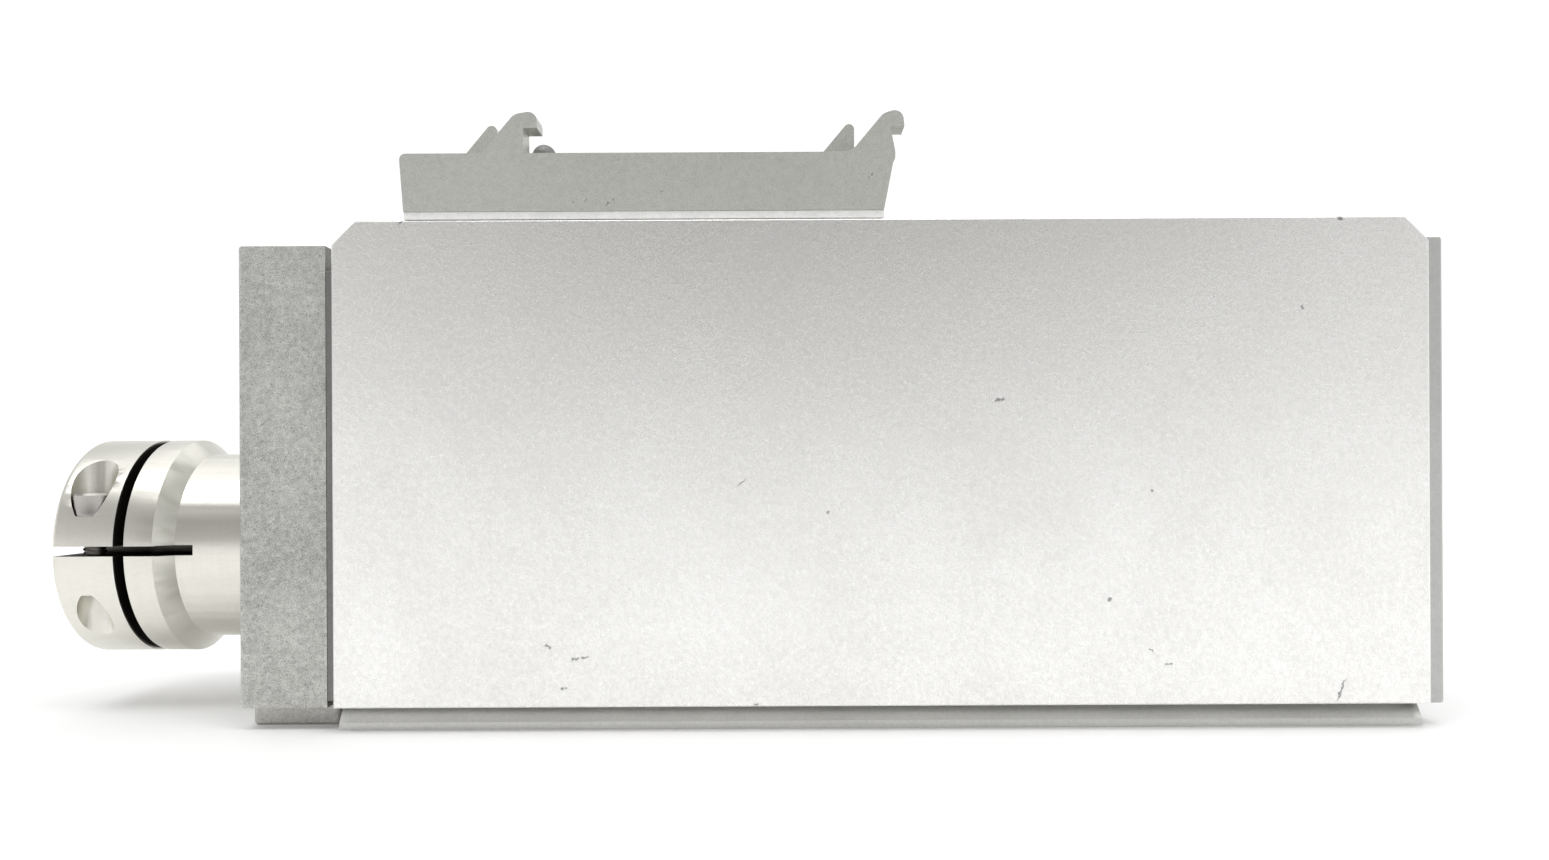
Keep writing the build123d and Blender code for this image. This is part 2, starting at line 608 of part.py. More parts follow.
def outer_ring(start, width, radii):
    """Outer ring of a bearing."""
    body = tube_x(radii[2], radii[3], start, start + width)
    return body - race(start, width, radii, OUTER_RACE_GAP)


def inner_ring(start, width, radii):
    """Inner ring of a bearing."""
    body = tube_x(radii[0], radii[1], start, start + width)
    return body - race(start, width, radii, INNER_RACE_GAP)


def bearing_balls(start, width, radii, count):
    """Balls of one bearing."""
    pitch = (radii[1] + radii[2]) / 2
    angles = [2 * math.pi * i / count for i in range(count)]
    centre_x = start + width / 2
    places = [(centre_x, pitch * math.cos(a), AXIS_Z + pitch * math.sin(a)) for a in angles]
    return placed(Sphere(BALL_RADIUS), places)


def bumpers(x_span):
    """Pair of rubber buttons at one end of the stroke."""
    height = (RUNNER_TOP + SADDLE_TOP) / 2
    return [rod_x(BUMPER_RADIUS, *x_span, side * BUMPER_Y, height) for side in SIDES]


# ---------------------------------------------------------------- screw line pieces
def ball_screw():
    """Screw shaft with its bearing, hub and idle journals; the ball track is left out."""
    body = rod_x(SCREW_RADIUS, *THREAD_SPAN)
    body = body + rod_x(BEARING_JOURNAL, HUB_JOURNAL_SPAN[1], THREAD_SPAN[0])
    body = body + rod_x(HUB_JOURNAL, *HUB_JOURNAL_SPAN)
    body = body + rod_x(BEARING_JOURNAL, THREAD_SPAN[1], IDLE_BEARING_START)
    body = body + rod_x(IDLE_JOURNAL, IDLE_BEARING_START, IDLE_JOURNAL_END)
    groove_start = IDLE_BEARING_START + IDLE_BEARING_WIDTH
    groove = tube_x(CIRCLIP_RADII[0], SCREW_RADIUS, groove_start, groove_start + CIRCLIP_THICKNESS)
    body = body - groove
    start = HUB_JOURNAL_SPAN[0]
    return body - rod_x(5 / 2, start - BEYOND, start + HUB_BOLT_LENGTH)


def coupling_hub():
    """Turned clamp hub: cross slit, axial slot and a clamp screw across the slot."""
    body = rod_x(HUB_RADIUS, HUB_END, HUB_SHOULDER)
    body = fillet(body.edges().filter_by(GeomType.CIRCLE).sort_by(Axis.X)[0], HUB_EDGE_ROUND)
    shoulder = HUB_RADIUS - HUB_NECK_RADIUS
    cone = Rot(0, 90, 0) * Cone(HUB_RADIUS, HUB_NECK_RADIUS, shoulder)
    body = body + Pos(HUB_SHOULDER + shoulder / 2, 0, AXIS_Z) * cone
    body = body + rod_x(HUB_NECK_RADIUS, HUB_SHOULDER, HUB_NECK_END)
    body = body - rod_x(HUB_BORE_RADIUS, HUB_END - BEYOND, HUB_BORE_END)
    body = body - rod_x(HUB_JOURNAL, HUB_JOURNAL_SPAN[0], HUB_NECK_END + BEYOND)
    body = body - rod_x(SOCKET_HEADS[5][0] + HEAD_CLEARANCE, HUB_BORE_END - BEYOND, HUB_BOLT_SEAT)
    body = body - rod_x(5 / 2 + SHANK_CLEARANCE, HUB_BOLT_SEAT - BEYOND, HUB_JOURNAL_SPAN[0] + BEYOND)
    reach = HUB_RADIUS + BEYOND
    z_span = (AXIS_Z - reach, AXIS_Z + reach)
    body = body - block(CROSS_SLIT, (-reach, CROSS_SLIT_DEPTH_Y), z_span)
    half_slot = AXIAL_SLOT_WIDTH / 2
    slot_z = (AXIS_Z - half_slot, AXIS_Z + half_slot)
    body = body - block((HUB_END - BEYOND, AXIAL_SLOT_END), (-reach, 0), slot_z)
    x, y = CLAMP_SCREW_X, CLAMP_SCREW_Y
    body = body - rod_z(CLAMP_POCKET_RADIUS, AXIS_Z + CLAMP_SEAT, AXIS_Z + reach, x, y)
    body = body - rod_z(CLAMP_LOWER_RADIUS, AXIS_Z - reach, AXIS_Z - CLAMP_LOWER_POCKET, x, y)
    body = body - rod_z(4 / 2 + SHANK_CLEARANCE, AXIS_Z, AXIS_Z + CLAMP_SEAT + BEYOND, x, y)
    return body - rod_z(4 / 2, AXIS_Z - CLAMP_LOWER_POCKET - BEYOND, AXIS_Z, x, y)


def reducing_sleeve():
    """Split sleeve in the hub's bore, its split at the rear."""
    body = tube_x(SLEEVE_BORE, HUB_BORE_RADIUS, *SLEEVE)
    start, end = SLEEVE
    split_z = (AXIS_Z - SLEEVE_SPLIT / 2, AXIS_Z + SLEEVE_SPLIT / 2)
    return body - block((start - BEYOND, end + BEYOND), (0, HUB_RADIUS), split_z)


def lock_nut():
    """Slotted ring nut that clamps the inner rings."""
    body = tube_x(BEARING_JOURNAL, LOCK_NUT_RADIUS, *LOCK_NUT)
    start = LOCK_NUT[0]
    width, length = LOCK_NUT_SLOT
    z_span = (LOCK_NUT_SLOT_FLOOR, LOCK_NUT_RADIUS + BEYOND)
    slot = block((start - BEYOND, start + length), (-width / 2, width / 2), z_span)
    for angle in (0, 90, 180, 270):
        body = body - Pos(0, 0, AXIS_Z) * Rot(angle, 0, 0) * slot
    return body


def circlip():
    """Open ring in the idle journal's groove."""
    start = IDLE_BEARING_START + IDLE_BEARING_WIDTH
    body = tube_x(*CIRCLIP_RADII, start, start + CIRCLIP_THICKNESS)
    x_span = (start - BEYOND, start + CIRCLIP_THICKNESS + BEYOND)
    y_span = (-CIRCLIP_GAP / 2, CIRCLIP_GAP / 2)
    return body - block(x_span, y_span, (AXIS_Z, AXIS_Z + SCREW_RADIUS))


# ---------------------------------------------------------------- carriage pieces
def ball_nut():
    """Rectangular ball nut, screwed to the saddle by its top face."""
    y_span = (-NUT_HALF_WIDTH, NUT_HALF_WIDTH)
    body = block(NUT, y_span, (NUT_BOTTOM, NUT_TOP))
    lower_edges = body.edges().filter_by(Axis.X).sort_by(Axis.Z)[:2]
    body = chamfer(lower_edges, NUT_CHAMFER)
    start, end = NUT
    body = body - rod_x(NUT_BORE_RADIUS, start - BEYOND, end + BEYOND)
    body = body - rod_x(WIPER_RADII[1], start - BEYOND, start + WIPER_THICKNESS)
    body = body - rod_x(WIPER_RADII[1], end - WIPER_THICKNESS, end + BEYOND)
    thread = NUT_SCREW_LENGTH - (NUT_SEAT_Z - NUT_TOP)
    places = [(x, y, NUT_TOP) for x, y, _ in nut_screw_places]
    return cut(body, placed(tapped(4, thread), places))


def nut_wipers():
    """Plastic wiper ring in each end of the ball nut."""
    start, end = NUT
    drive_side = tube_x(*WIPER_RADII, start, start + WIPER_THICKNESS)
    idle_side = tube_x(*WIPER_RADII, end - WIPER_THICKNESS, end)
    return [drive_side, idle_side]


def runner_piece(side, x_span, inset):
    """Length of runner section that wraps the rail with a running gap."""
    half = RUNNER_WIDTH / 2 - inset
    y_span = side_span(side, RAIL_Y - half, RAIL_Y + half)
    body = block(x_span, y_span, (RUNNER_BOTTOM + inset, RUNNER_TOP - inset))
    channel = offset(rail_profile(side), amount=RUNNING_GAP)
    return body - prism_x(channel, (x_span[0] - BEYOND, x_span[1] + BEYOND))


def runner_block(side):
    """Steel body of a runner."""
    body = runner_piece(side, RUNNER_BODY, 0)
    thread = RUNNER_SCREW_LENGTH - (RUNNER_SEAT_Z - RUNNER_TOP)
    ys = [y for y in runner_ys if y * side > 0]
    return cut(body, placed(tapped(3, thread), grid(RUNNER_SCREW_X, ys, (RUNNER_TOP,))))


def runner_end_caps():
    """Plastic ball return cap on both ends of both runners."""
    start, end = RUNNER_BODY
    spans = ((start - RUNNER_CAP_LENGTH, start), (end, end + RUNNER_CAP_LENGTH))
    return [runner_piece(side, span, RUNNER_CAP_INSET) for side in SIDES for span in spans]


def saddle():
    """Plate across both runners with a rib down to the ball nut."""
    y_span = (-SADDLE_HALF_WIDTH, SADDLE_HALF_WIDTH)
    body = block(SADDLE, y_span, (RUNNER_TOP, SADDLE_TOP))
    body = body + block(NUT, (-RIB_HALF_WIDTH, RIB_HALF_WIDTH), (NUT_TOP, RUNNER_TOP))
    runner_room = socket_clearance(3, SADDLE_TOP - RUNNER_TOP, SOCKET_HEADS[3][1] + BEYOND)
    body = cut(body, placed(runner_room, runner_screw_places))
    nut_room = socket_clearance(4, SADDLE_TOP - NUT_TOP, SOCKET_HEADS[4][1] + BEYOND)
    body = cut(body, placed(nut_room, nut_screw_places))
    riser_room = socket_clearance(3, SADDLE_TOP - RUNNER_TOP, SOCKET_HEADS[3][1] + BEYOND)
    return cut(body, placed(riser_room, riser_screw_places, FACING_DOWN))


def riser(side):
    """Wall that carries the plate past the inner top cover."""
    y_span = side_span(side, RISER_INNER, RISER_INNER + RISER_THICKNESS)
    body = block(SADDLE, y_span, (SADDLE_TOP, CARRIAGE_BOTTOM))
    lower_thread = RISER_SCREW_LENGTH - (SADDLE_TOP - RISER_SEAT_Z)
    lower_places = grid(RISER_SCREW_X, (side * RISER_Y,), (SADDLE_TOP,))
    body = cut(body, placed(tapped(3, lower_thread), lower_places, FACING_DOWN))
    upper_thread = CARRIAGE_SCREW_LENGTH - (CARRIAGE_SEAT_Z - CARRIAGE_BOTTOM)
    upper_places = grid(CARRIAGE_SCREW_X, (side * RISER_Y,), (CARRIAGE_BOTTOM,))
    return cut(body, placed(tapped(3, upper_thread), upper_places))


def ramp_outline(crown_x, crown_z, crown_radius, neck_top, neck_foot):
    """Ramp that runs up at RAMP_ANGLE and touches a crown circle, down to inside the deck."""
    slope = math.radians(RAMP_ANGLE)
    touch_x = crown_x - crown_radius * math.sin(slope)
    touch_z = crown_z + crown_radius * math.cos(slope)
    foot_z = DECK_Z - BEYOND
    foot_x = touch_x - (touch_z - foot_z) / math.tan(slope)
    return outline(
        (foot_x, foot_z),
        (touch_x, touch_z),
        (crown_x, crown_z),
        neck_top,
        neck_foot,
        (neck_foot[0], foot_z),
    )


def hook_profile(crown_x, tip_shift, neck_top, neck_foot):
    """Hook with a nose that points towards the idle end."""
    crown_z = DECK_Z + CROWN_CENTRE_Z
    tip_x = crown_x + tip_shift
    tip_z = crown_z + CROWN_RADIUS + TIP_RISE - TIP_RADIUS
    underside = DECK_Z + NOSE_UNDERSIDE
    ramp = ramp_outline(
        crown_x,
        crown_z,
        CROWN_RADIUS,
        (crown_x + neck_top, underside),
        (crown_x + neck_foot, DECK_Z),
    )
    nose_end = max(crown_x + CROWN_RADIUS, tip_x + TIP_RADIUS)
    nose = outline(
        (crown_x, underside),
        (nose_end, underside),
        (nose_end, crown_z),
        (tip_x + TIP_RADIUS, tip_z),
        (crown_x, tip_z),
    )
    reach = 2 * CROWN_RADIUS
    below = outline(
        (crown_x + neck_top, underside),
        (crown_x + neck_top, underside - reach),
        (crown_x + reach, underside - reach),
        (crown_x + reach, underside),
    )
    rounds = Pos(crown_x, crown_z) * Circle(CROWN_RADIUS) + Pos(tip_x, tip_z) * Circle(TIP_RADIUS)
    return ramp + ((make_hull(rounds.edges()) + nose) - below)


def fin_profile(crown_x):
    """Plain fin: the same ramp, a small crown and an upright back."""
    crown_z = DECK_Z + FIN_HEIGHT - FIN_CROWN_RADIUS
    back = crown_x + FIN_CROWN_RADIUS
    ramp = ramp_outline(crown_x, crown_z, FIN_CROWN_RADIUS, (back, crown_z), (back, DECK_Z))
    return ramp + Pos(crown_x, crown_z) * Circle(FIN_CROWN_RADIUS)


def ramp_foot_round(crown_x):
    """Concave round between the deck and a hook's ramp."""
    slope = math.radians(RAMP_ANGLE)
    touch_x = crown_x - CROWN_RADIUS * math.sin(slope)
    touch_z = CROWN_CENTRE_Z + CROWN_RADIUS * math.cos(slope)
    foot_x = touch_x - touch_z / math.tan(slope)
    reach = FOOT_ROUND * math.tan(slope / 2)
    up_x = foot_x + reach * math.cos(slope)
    up_z = DECK_Z + reach * math.sin(slope)
    corner = outline((foot_x - reach, DECK_Z), (foot_x + reach, DECK_Z), (up_x, up_z))
    return corner - Pos(foot_x - reach, DECK_Z + FOOT_ROUND) * Circle(FOOT_ROUND)


def carriage_plate():
    """Machined plate with a row of hooks and a row of fins on each side."""
    face = outline(
        (CARRIAGE_BOTTOM_SPAN[0], CARRIAGE_BOTTOM),
        (CARRIAGE_BOTTOM_SPAN[1], CARRIAGE_BOTTOM),
        (CARRIAGE_TOP_SPAN[1], DECK_Z),
        (CARRIAGE_TOP_SPAN[0], DECK_Z),
    )
    corner = face.vertices().sort_by_distance((CARRIAGE_TOP_SPAN[0], DECK_Z, 0))[0]
    face = fillet(corner, CARRIAGE_CORNER_ROUND)
    body = prism_y(face, (-CARRIAGE_HALF_WIDTH, CARRIAGE_HALF_WIDTH))
    for side in SIDES:
        hooks = zip(HOOK_CROWNS_X, HOOK_TIPS_X, HOOK_NECK_TOP, HOOK_NECK_FOOT)
        for crown_x, tip_shift, neck_top, neck_foot in hooks:
            hook = hook_profile(crown_x, tip_shift, neck_top, neck_foot)
            body = body + prism_y(hook, side_span(side, *HOOK_ROW_Y))
            fin = fin_profile(crown_x + FIN_SHIFT_X)
            body = body + prism_y(fin, side_span(side, *FIN_ROW_Y))
        foot = ramp_foot_round(HOOK_CROWNS_X[1])
        body = body + prism_y(foot, side_span(side, *HOOK_ROW_Y))
        body = body - rod_z(PIN_RADIUS, DECK_Z - PIN_DEPTH, DECK_Z + BEYOND, PIN_X, side * PIN_Y)
    head_room = socket_clearance(3, DECK_Z - CARRIAGE_BOTTOM, SOCKET_HEADS[3][1] + BEYOND)
    body = cut(body, placed(head_room, carriage_screw_places))
    half_x, half_y = (spacing / 2 for spacing in DECK_HOLE_SPACING)
    for x, y, _ in grid((DECK_CENTRE_X - half_x, DECK_CENTRE_X + half_x), (-half_y, half_y), (0,)):
        body = body - rod_z(DECK_HOLE_RADIUS, DECK_Z - DECK_HOLE_DEPTH, DECK_Z + BEYOND, x, y)
    camera_floor = DECK_Z - DECK_HOLE_DEPTH
    return body - rod_z(CAMERA_HOLE_RADIUS, camera_floor, DECK_Z + BEYOND, DECK_CENTRE_X, 0)


def locating_pin(side):
    """Round-nosed pin pressed into the deck beside a drive end hook."""
    shoulder = DECK_Z + PIN_HEIGHT - PIN_RADIUS
    body = rod_z(PIN_RADIUS, DECK_Z - PIN_DEPTH, shoulder, PIN_X, side * PIN_Y)
    return body + Pos(PIN_X, side * PIN_Y, shoulder) * Sphere(PIN_RADIUS)


def glide_strip(side):
    """Low-friction strip under the carriage edge, over the side cover's top edge."""
    z_span = (COVER_TOP + GLIDE_STRIP_GAP, CARRIAGE_BOTTOM)
    return block(CARRIAGE_BOTTOM_SPAN, side_span(side, *GLIDE_STRIP_Y), z_span)


# ---------------------------------------------------------------- all nodes
FRONT, REAR = SIDES
stud_places = [(side, x, z) for side in SIDES for x in STUD_X for z in STUD_Z]
rail_screw_places = grid(rail_screw_xs, (-RAIL_Y, RAIL_Y), (RAIL_SEAT_Z,))
clamp_screw_place = (CLAMP_SCREW_X, CLAMP_SCREW_Y, AXIS_Z + CLAMP_SEAT)

nodes = {
    "base_plate": [base_plate()],
    "front_side_cover": [side_cover(FRONT)],
    "rear_side_cover": [side_cover(REAR)],
    "cover_studs": [cover_stud(*place) for place in stud_places],
    "cover_nuts": [cover_nut(*place) for place in stud_places],
    "front_rail_beam": [rail_beam(FRONT)],
    "rear_rail_beam": [rail_beam(REAR)],
    "beam_screws": placed(socket_screw(4, BASE_SCREW_LENGTH), base_screw_places, FACING_DOWN),
    "front_guide_rail": [guide_rail(FRONT)],
    "rear_guide_rail": [guide_rail(REAR)],
    "rail_screws": placed(socket_screw(3, RAIL_SCREW_LENGTH), rail_screw_places),
    "drive_bearing_block": [drive_bearing_block()],
    "idle_bearing_block": [idle_bearing_block()],
    "bearing_block_screws": placed(
        socket_screw(4, BASE_SCREW_LENGTH), block_screw_places, FACING_DOWN
    ),
    "drive_end_plate": [drive_end_plate()],
    "drive_end_plate_screws": placed(
        socket_screw(4, END_SCREW_LENGTH), end_screw_places, FACING_DRIVE
    ),
    "drive_end_foot": [drive_end_foot()],
    "foot_screws": placed(flat_screw(3, FOOT_SCREW_LENGTH), foot_screw_places, FACING_DOWN),
    "idle_end_cap": [idle_end_cap()],
    "idle_cap_screws": placed(flat_screw(4, CAP_SCREW_LENGTH), cap_screw_places, FACING_IDLE),
    "bearing_retainer": [bearing_retainer()],
    "retainer_screws": placed(
        socket_screw(3, RETAINER_SCREW_LENGTH), retainer_screw_places, FACING_DRIVE
    ),
    "drive_bearing_outer_rings": [
        outer_ring(start, DRIVE_BEARING_WIDTH, DRIVE_BEARING_RADII) for start in DRIVE_BEARING_STARTS
    ],
    "idle_bearing_outer_ring": [
        outer_ring(IDLE_BEARING_START, IDLE_BEARING_WIDTH, IDLE_BEARING_RADII)
    ],
    "shaft_seal": [tube_x(*SEAL_RADII, *SEAL)],
    "drive_end_bumpers": bumpers((DRIVE_BLOCK[1], DRIVE_BLOCK[1] + BUMPER_THICKNESS)),
    "idle_end_bumpers": bumpers((IDLE_BLOCK[0] - BUMPER_THICKNESS, IDLE_BLOCK[0])),
    "top_cover": [top_cover()],
    "top_cover_screws": placed(
        socket_screw(3, TOP_COVER_SCREW_LENGTH), top_cover_screw_places
    ),
    "ball_screw": [ball_screw()],
    "coupling_hub": [coupling_hub()],
    "reducing_sleeve": [reducing_sleeve()],
    "clamp_screw": placed(socket_screw(4, CLAMP_SCREW_LENGTH), [clamp_screw_place]),
    "hub_bolt": placed(socket_screw(5, HUB_BOLT_LENGTH), [(HUB_BOLT_SEAT, 0, AXIS_Z)], FACING_DRIVE),
    "lock_nut": [lock_nut()],
    "drive_bearing_inner_rings": [
        inner_ring(start, DRIVE_BEARING_WIDTH, DRIVE_BEARING_RADII) for start in DRIVE_BEARING_STARTS
    ],
    "drive_bearing_balls": [
        ball
        for start in DRIVE_BEARING_STARTS
        for ball in bearing_balls(start, DRIVE_BEARING_WIDTH, DRIVE_BEARING_RADII, DRIVE_BALLS)
    ],
    "idle_bearing_inner_ring": [
        inner_ring(IDLE_BEARING_START, IDLE_BEARING_WIDTH, IDLE_BEARING_RADII)
    ],
    "idle_bearing_balls": bearing_balls(
        IDLE_BEARING_START, IDLE_BEARING_WIDTH, IDLE_BEARING_RADII, IDLE_BALLS
    ),
    "circlip": [circlip()],
    "ball_nut": [ball_nut()],
    "nut_wipers": nut_wipers(),
    "nut_screws": placed(socket_screw(4, NUT_SCREW_LENGTH), nut_screw_places),
    "front_runner_block": [runner_block(FRONT)],
    "rear_runner_block": [runner_block(REAR)],
    "runner_end_caps": runner_end_caps(),
    "runner_screws": placed(socket_screw(3, RUNNER_SCREW_LENGTH), runner_screw_places),
    "saddle": [saddle()],
    "front_riser": [riser(FRONT)],
    "rear_riser": [riser(REAR)],
    "riser_screws": placed(socket_screw(3, RISER_SCREW_LENGTH), riser_screw_places, FACING_DOWN),
    "carriage_plate": [carriage_plate()],
    "carriage_screws": placed(socket_screw(3, CARRIAGE_SCREW_LENGTH), carriage_screw_places),
    "locating_pins": [locating_pin(side) for side in SIDES],
    "front_glide_strip": [glide_strip(FRONT)],
    "rear_glide_strip": [glide_strip(REAR)],
}

os.makedirs("parts", exist_ok=True)
for name, pieces in nodes.items():
    solids = [solid for piece in pieces for solid in piece.solids()]
    shape = solids[0] if len(solids) == 1 else Compound(solids)
    export_step(shape, f"parts/{name}.step")
print("nodes", len(nodes))
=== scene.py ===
import json
import math

import bmesh
import bpy
from mathutils import Euler, Matrix, Vector


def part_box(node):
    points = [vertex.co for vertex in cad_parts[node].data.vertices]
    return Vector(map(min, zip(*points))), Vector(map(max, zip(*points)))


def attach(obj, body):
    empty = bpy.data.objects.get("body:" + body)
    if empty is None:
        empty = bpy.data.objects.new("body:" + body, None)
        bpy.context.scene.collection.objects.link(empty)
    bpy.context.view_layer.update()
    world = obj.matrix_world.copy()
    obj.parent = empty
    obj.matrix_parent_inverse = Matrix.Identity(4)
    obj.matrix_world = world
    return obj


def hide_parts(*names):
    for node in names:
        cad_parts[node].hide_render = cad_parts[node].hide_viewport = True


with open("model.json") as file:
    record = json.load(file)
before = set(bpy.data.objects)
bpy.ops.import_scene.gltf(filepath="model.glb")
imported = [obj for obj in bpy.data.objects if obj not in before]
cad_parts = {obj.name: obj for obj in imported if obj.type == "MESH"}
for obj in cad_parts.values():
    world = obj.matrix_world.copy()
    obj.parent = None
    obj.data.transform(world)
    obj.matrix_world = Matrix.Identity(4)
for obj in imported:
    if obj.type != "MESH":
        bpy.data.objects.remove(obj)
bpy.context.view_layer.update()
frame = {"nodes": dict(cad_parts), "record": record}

MM = 0.001
scene = bpy.context.scene
nodes = frame["nodes"]
slot_of = {part["node"]: part["material_slot"] for part in frame["record"]["subparts"]}
bodies = frame["record"]["behaviour"]["bodies"]
body_of = {node: body for body, members in bodies.items() for node in members}
AXIS_Z = sum(corner.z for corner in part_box("coupling_hub")) / 2


# ---------------------------------------------------------------- camera
# A short lens, level with the middle of the housing and square to its front.
SENSOR_WIDTH = 36.0
LENS = 27.889
CAMERA_PLACE = Vector((-17.6, -231.0, 43.3)) * MM
CAMERA_SHIFT_Y = 0.0258
CAMERA_ROLL = math.radians(0.27)
NEAREST, FURTHEST = 1 * MM, 50.0    # what the camera draws, in metres

camera_data = bpy.data.cameras.new("camera")
camera_data.sensor_width = SENSOR_WIDTH
camera_data.lens = LENS
camera_data.shift_y = CAMERA_SHIFT_Y
camera_data.clip_start = NEAREST
camera_data.clip_end = FURTHEST
camera = bpy.data.objects.new("camera", camera_data)
scene.collection.objects.link(camera)
level_view = Euler((math.radians(90), 0, 0)).to_matrix().to_4x4()
camera.matrix_world = (
    Matrix.Translation(CAMERA_PLACE) @ level_view @ Matrix.Rotation(-CAMERA_ROLL, 4, "Z")
)
scene.camera = camera


# ---------------------------------------------------------------- material helpers
materials = {}


def new_material(name, metallic=0.0):
    """Node tree and shader of a new material, which is kept under its name."""
    material = bpy.data.materials.new(name)
    material.use_nodes = True
    materials[name] = material
    shader = material.node_tree.nodes["Principled BSDF"]
    shader.inputs["Metallic"].default_value = metallic
    return material.node_tree, shader


def join(tree, value, socket):
    """Put a value on a socket, or link it there when it is a socket too."""
    if isinstance(value, bpy.types.NodeSocket):
        tree.links.new(value, socket)
    else:
        socket.default_value = value


def add(tree, kind, **sockets):
    """New shader node; a keyword names an input, and its value is a socket or a number."""
    node = tree.nodes.new(kind)
    for name, value in sockets.items():
        join(tree, value, node.inputs[name.replace("_", " ")])
    return node


def row_places(tree):
    """Places in the row frame, in metres."""
    return tree.nodes.new("ShaderNodeTexCoord").outputs["Object"]


def axes_of(tree, places):
    """The X, Y and Z sockets of a place."""
    return add(tree, "ShaderNodeSeparateXYZ", Vector=places).outputs


def stretched(tree, places, factors):
    """Places scaled along each axis, so that a texture runs along the axis with the small factor."""
    return add(tree, "ShaderNodeMapping", Vector=places, Scale=factors).outputs["Vector"]


def noise(tree, places, size_mm, detail, roughness):
    """Noise from 0 to 1 with features of the given size."""
    scale = 1 / (size_mm * MM)
    node = add(
        tree, "ShaderNodeTexNoise", Vector=places, Scale=scale, Detail=detail, Roughness=roughness
    )
    return node.outputs["Fac"]


def remap(tree, value, low, high, out_low=0.0, out_high=1.0):
    """Value moved from one range to another, and kept inside it."""
    node = add(
        tree, "ShaderNodeMapRange",
        Value=value, From_Min=low, From_Max=high, To_Min=out_low, To_Max=out_high,
    )
    return node.outputs["Result"]


def texture(tree, places, size_mm, detail, roughness, spread=0.2):
    """Noise whose middle range is stretched to run from 0 to 1."""
    return remap(tree, noise(tree, places, size_mm, detail, roughness), 0.5 - spread, 0.5 + spread)


def combine(tree, operation, first, second=0.0):
    """Two numbers or sockets joined by a math operation."""
    node = tree.nodes.new("ShaderNodeMath")
    node.operation = operation
    join(tree, first, node.inputs[0])
    join(tree, second, node.inputs[1])
    return node.outputs["Value"]


def total(tree, *shares):
    """Sum of (value, weight) pairs."""
    terms = [combine(tree, "MULTIPLY", value, weight) for value, weight in shares]
    result = terms[0]
    for term in terms[1:]:
        result = combine(tree, "ADD", result, term)
    return result


def product(tree, *values):
    """Several masks multiplied together."""
    result = values[0]
    for value in values[1:]:
        result = combine(tree, "MULTIPLY", result, value)
    return result


def strongest(tree, masks):
    """Largest of several masks."""
    result = masks[0]
    for mask in masks[1:]:
        result = combine(tree, "MAXIMUM", result, mask)
    return result


def near(tree, value, middle, half_width):
    """Mask that is 1 within a half width of a middle value, with a soft edge."""
    distance = combine(tree, "ABSOLUTE", combine(tree, "SUBTRACT", value, middle))
    return remap(tree, distance, half_width + 0.02 * MM, half_width + 0.08 * MM, 1, 0)


def blend_colours(tree, share, first, second):
    """Mix of two colours by a share from 0 to 1."""
    node = tree.nodes.new("ShaderNodeMix")
    node.data_type = "RGBA"
    tree.links.new(share, node.inputs["Factor"])
    colour_inputs = [socket for socket in node.inputs if socket.type == "RGBA"]
    for socket, value in zip(colour_inputs, (first, second)):
        join(tree, value if isinstance(value, bpy.types.NodeSocket) else (*value, 1), socket)
    return next(socket for socket in node.outputs if socket.type == "RGBA")


def shade(colour, factor):
    """Colour made lighter or darker."""
    return tuple(channel * factor for channel in colour)


def tones(tree, share, base, darkest, lightest):
    """The base colour from its darkest to its lightest tone, by a share from 0 to 1."""
    return blend_colours(tree, share, shade(base, darkest), shade(base, lightest))


def stained(tree, colour, mask, strength, stain):
    """Colour with a stain on it where the mask is 1."""
    return blend_colours(tree, combine(tree, "MULTIPLY", mask, strength), colour, stain)


def bump(tree, shader, heights):
    """Surface relief from (height socket, depth in mm) pairs, chained."""
    normal = None
    for height, depth_mm in heights:
        node = add(tree, "ShaderNodeBump", Height=height, Distance=depth_mm * MM)
        if normal is not None:
            tree.links.new(normal, node.inputs["Normal"])
        normal = node.outputs["Normal"]
    tree.links.new(normal, shader.inputs["Normal"])


def finish(tree, shader, colour, rough, heights):
    """Colour, roughness and relief joined to the shader."""
    tree.links.new(colour, shader.inputs["Base Color"])
    tree.links.new(rough, shader.inputs["Roughness"])
    bump(tree, shader, heights)


def edge_wear(tree, width_mm):
    """Share of wear at convex edges, from 0 to 1, broken up by noise."""
    pointiness = tree.nodes.new("ShaderNodeNewGeometry").outputs["Pointiness"]
    edges = remap(tree, pointiness, 0.52, 0.6)
    patches = texture(tree, row_places(tree), width_mm, detail=3, roughness=0.6, spread=0.15)
    return combine(tree, "MULTIPLY", edges, patches)


# ---------------------------------------------------------------- handling marks
# (X, Z, length, width, angle) of each mark on a front face, in mm and degrees
COVER_SCUFFS = (
    (19.6, 54.8, 2.0, 0.55, 10),
    (-23.0, 41.3, 2.2, 0.3, 40),
    (-55.1, 14.4, 1.4, 0.5, -25),
    (-50.6, 12.2, 1.6, 0.5, 15),
    (-49.0, 12.4, 1.4, 0.4, 20),
    (-52.5, 7.3, 1.3, 0.4, 10),
    (75.7, 6.6, 4.2, 0.5, 68),
    (44.4, 13.3, 1.0, 0.45, -20),
    (47.3, 10.9, 1.5, 0.4, 0),
    (37.6, 21.7, 0.9, 0.7, 0),
    (69.6, 69.8, 0.9, 0.6, -60),
    (-8.8, 36.2, 0.6, 0.5, 0),
    (44.7, 39.7, 0.6, 0.5, 0),
    (-79.1, 84.4, 0.8, 0.7, 0),
    (75.9, 84.5, 1.0, 0.9, 0),
    (-20.8, 4.6, 0.9, 0.7, 0),
)
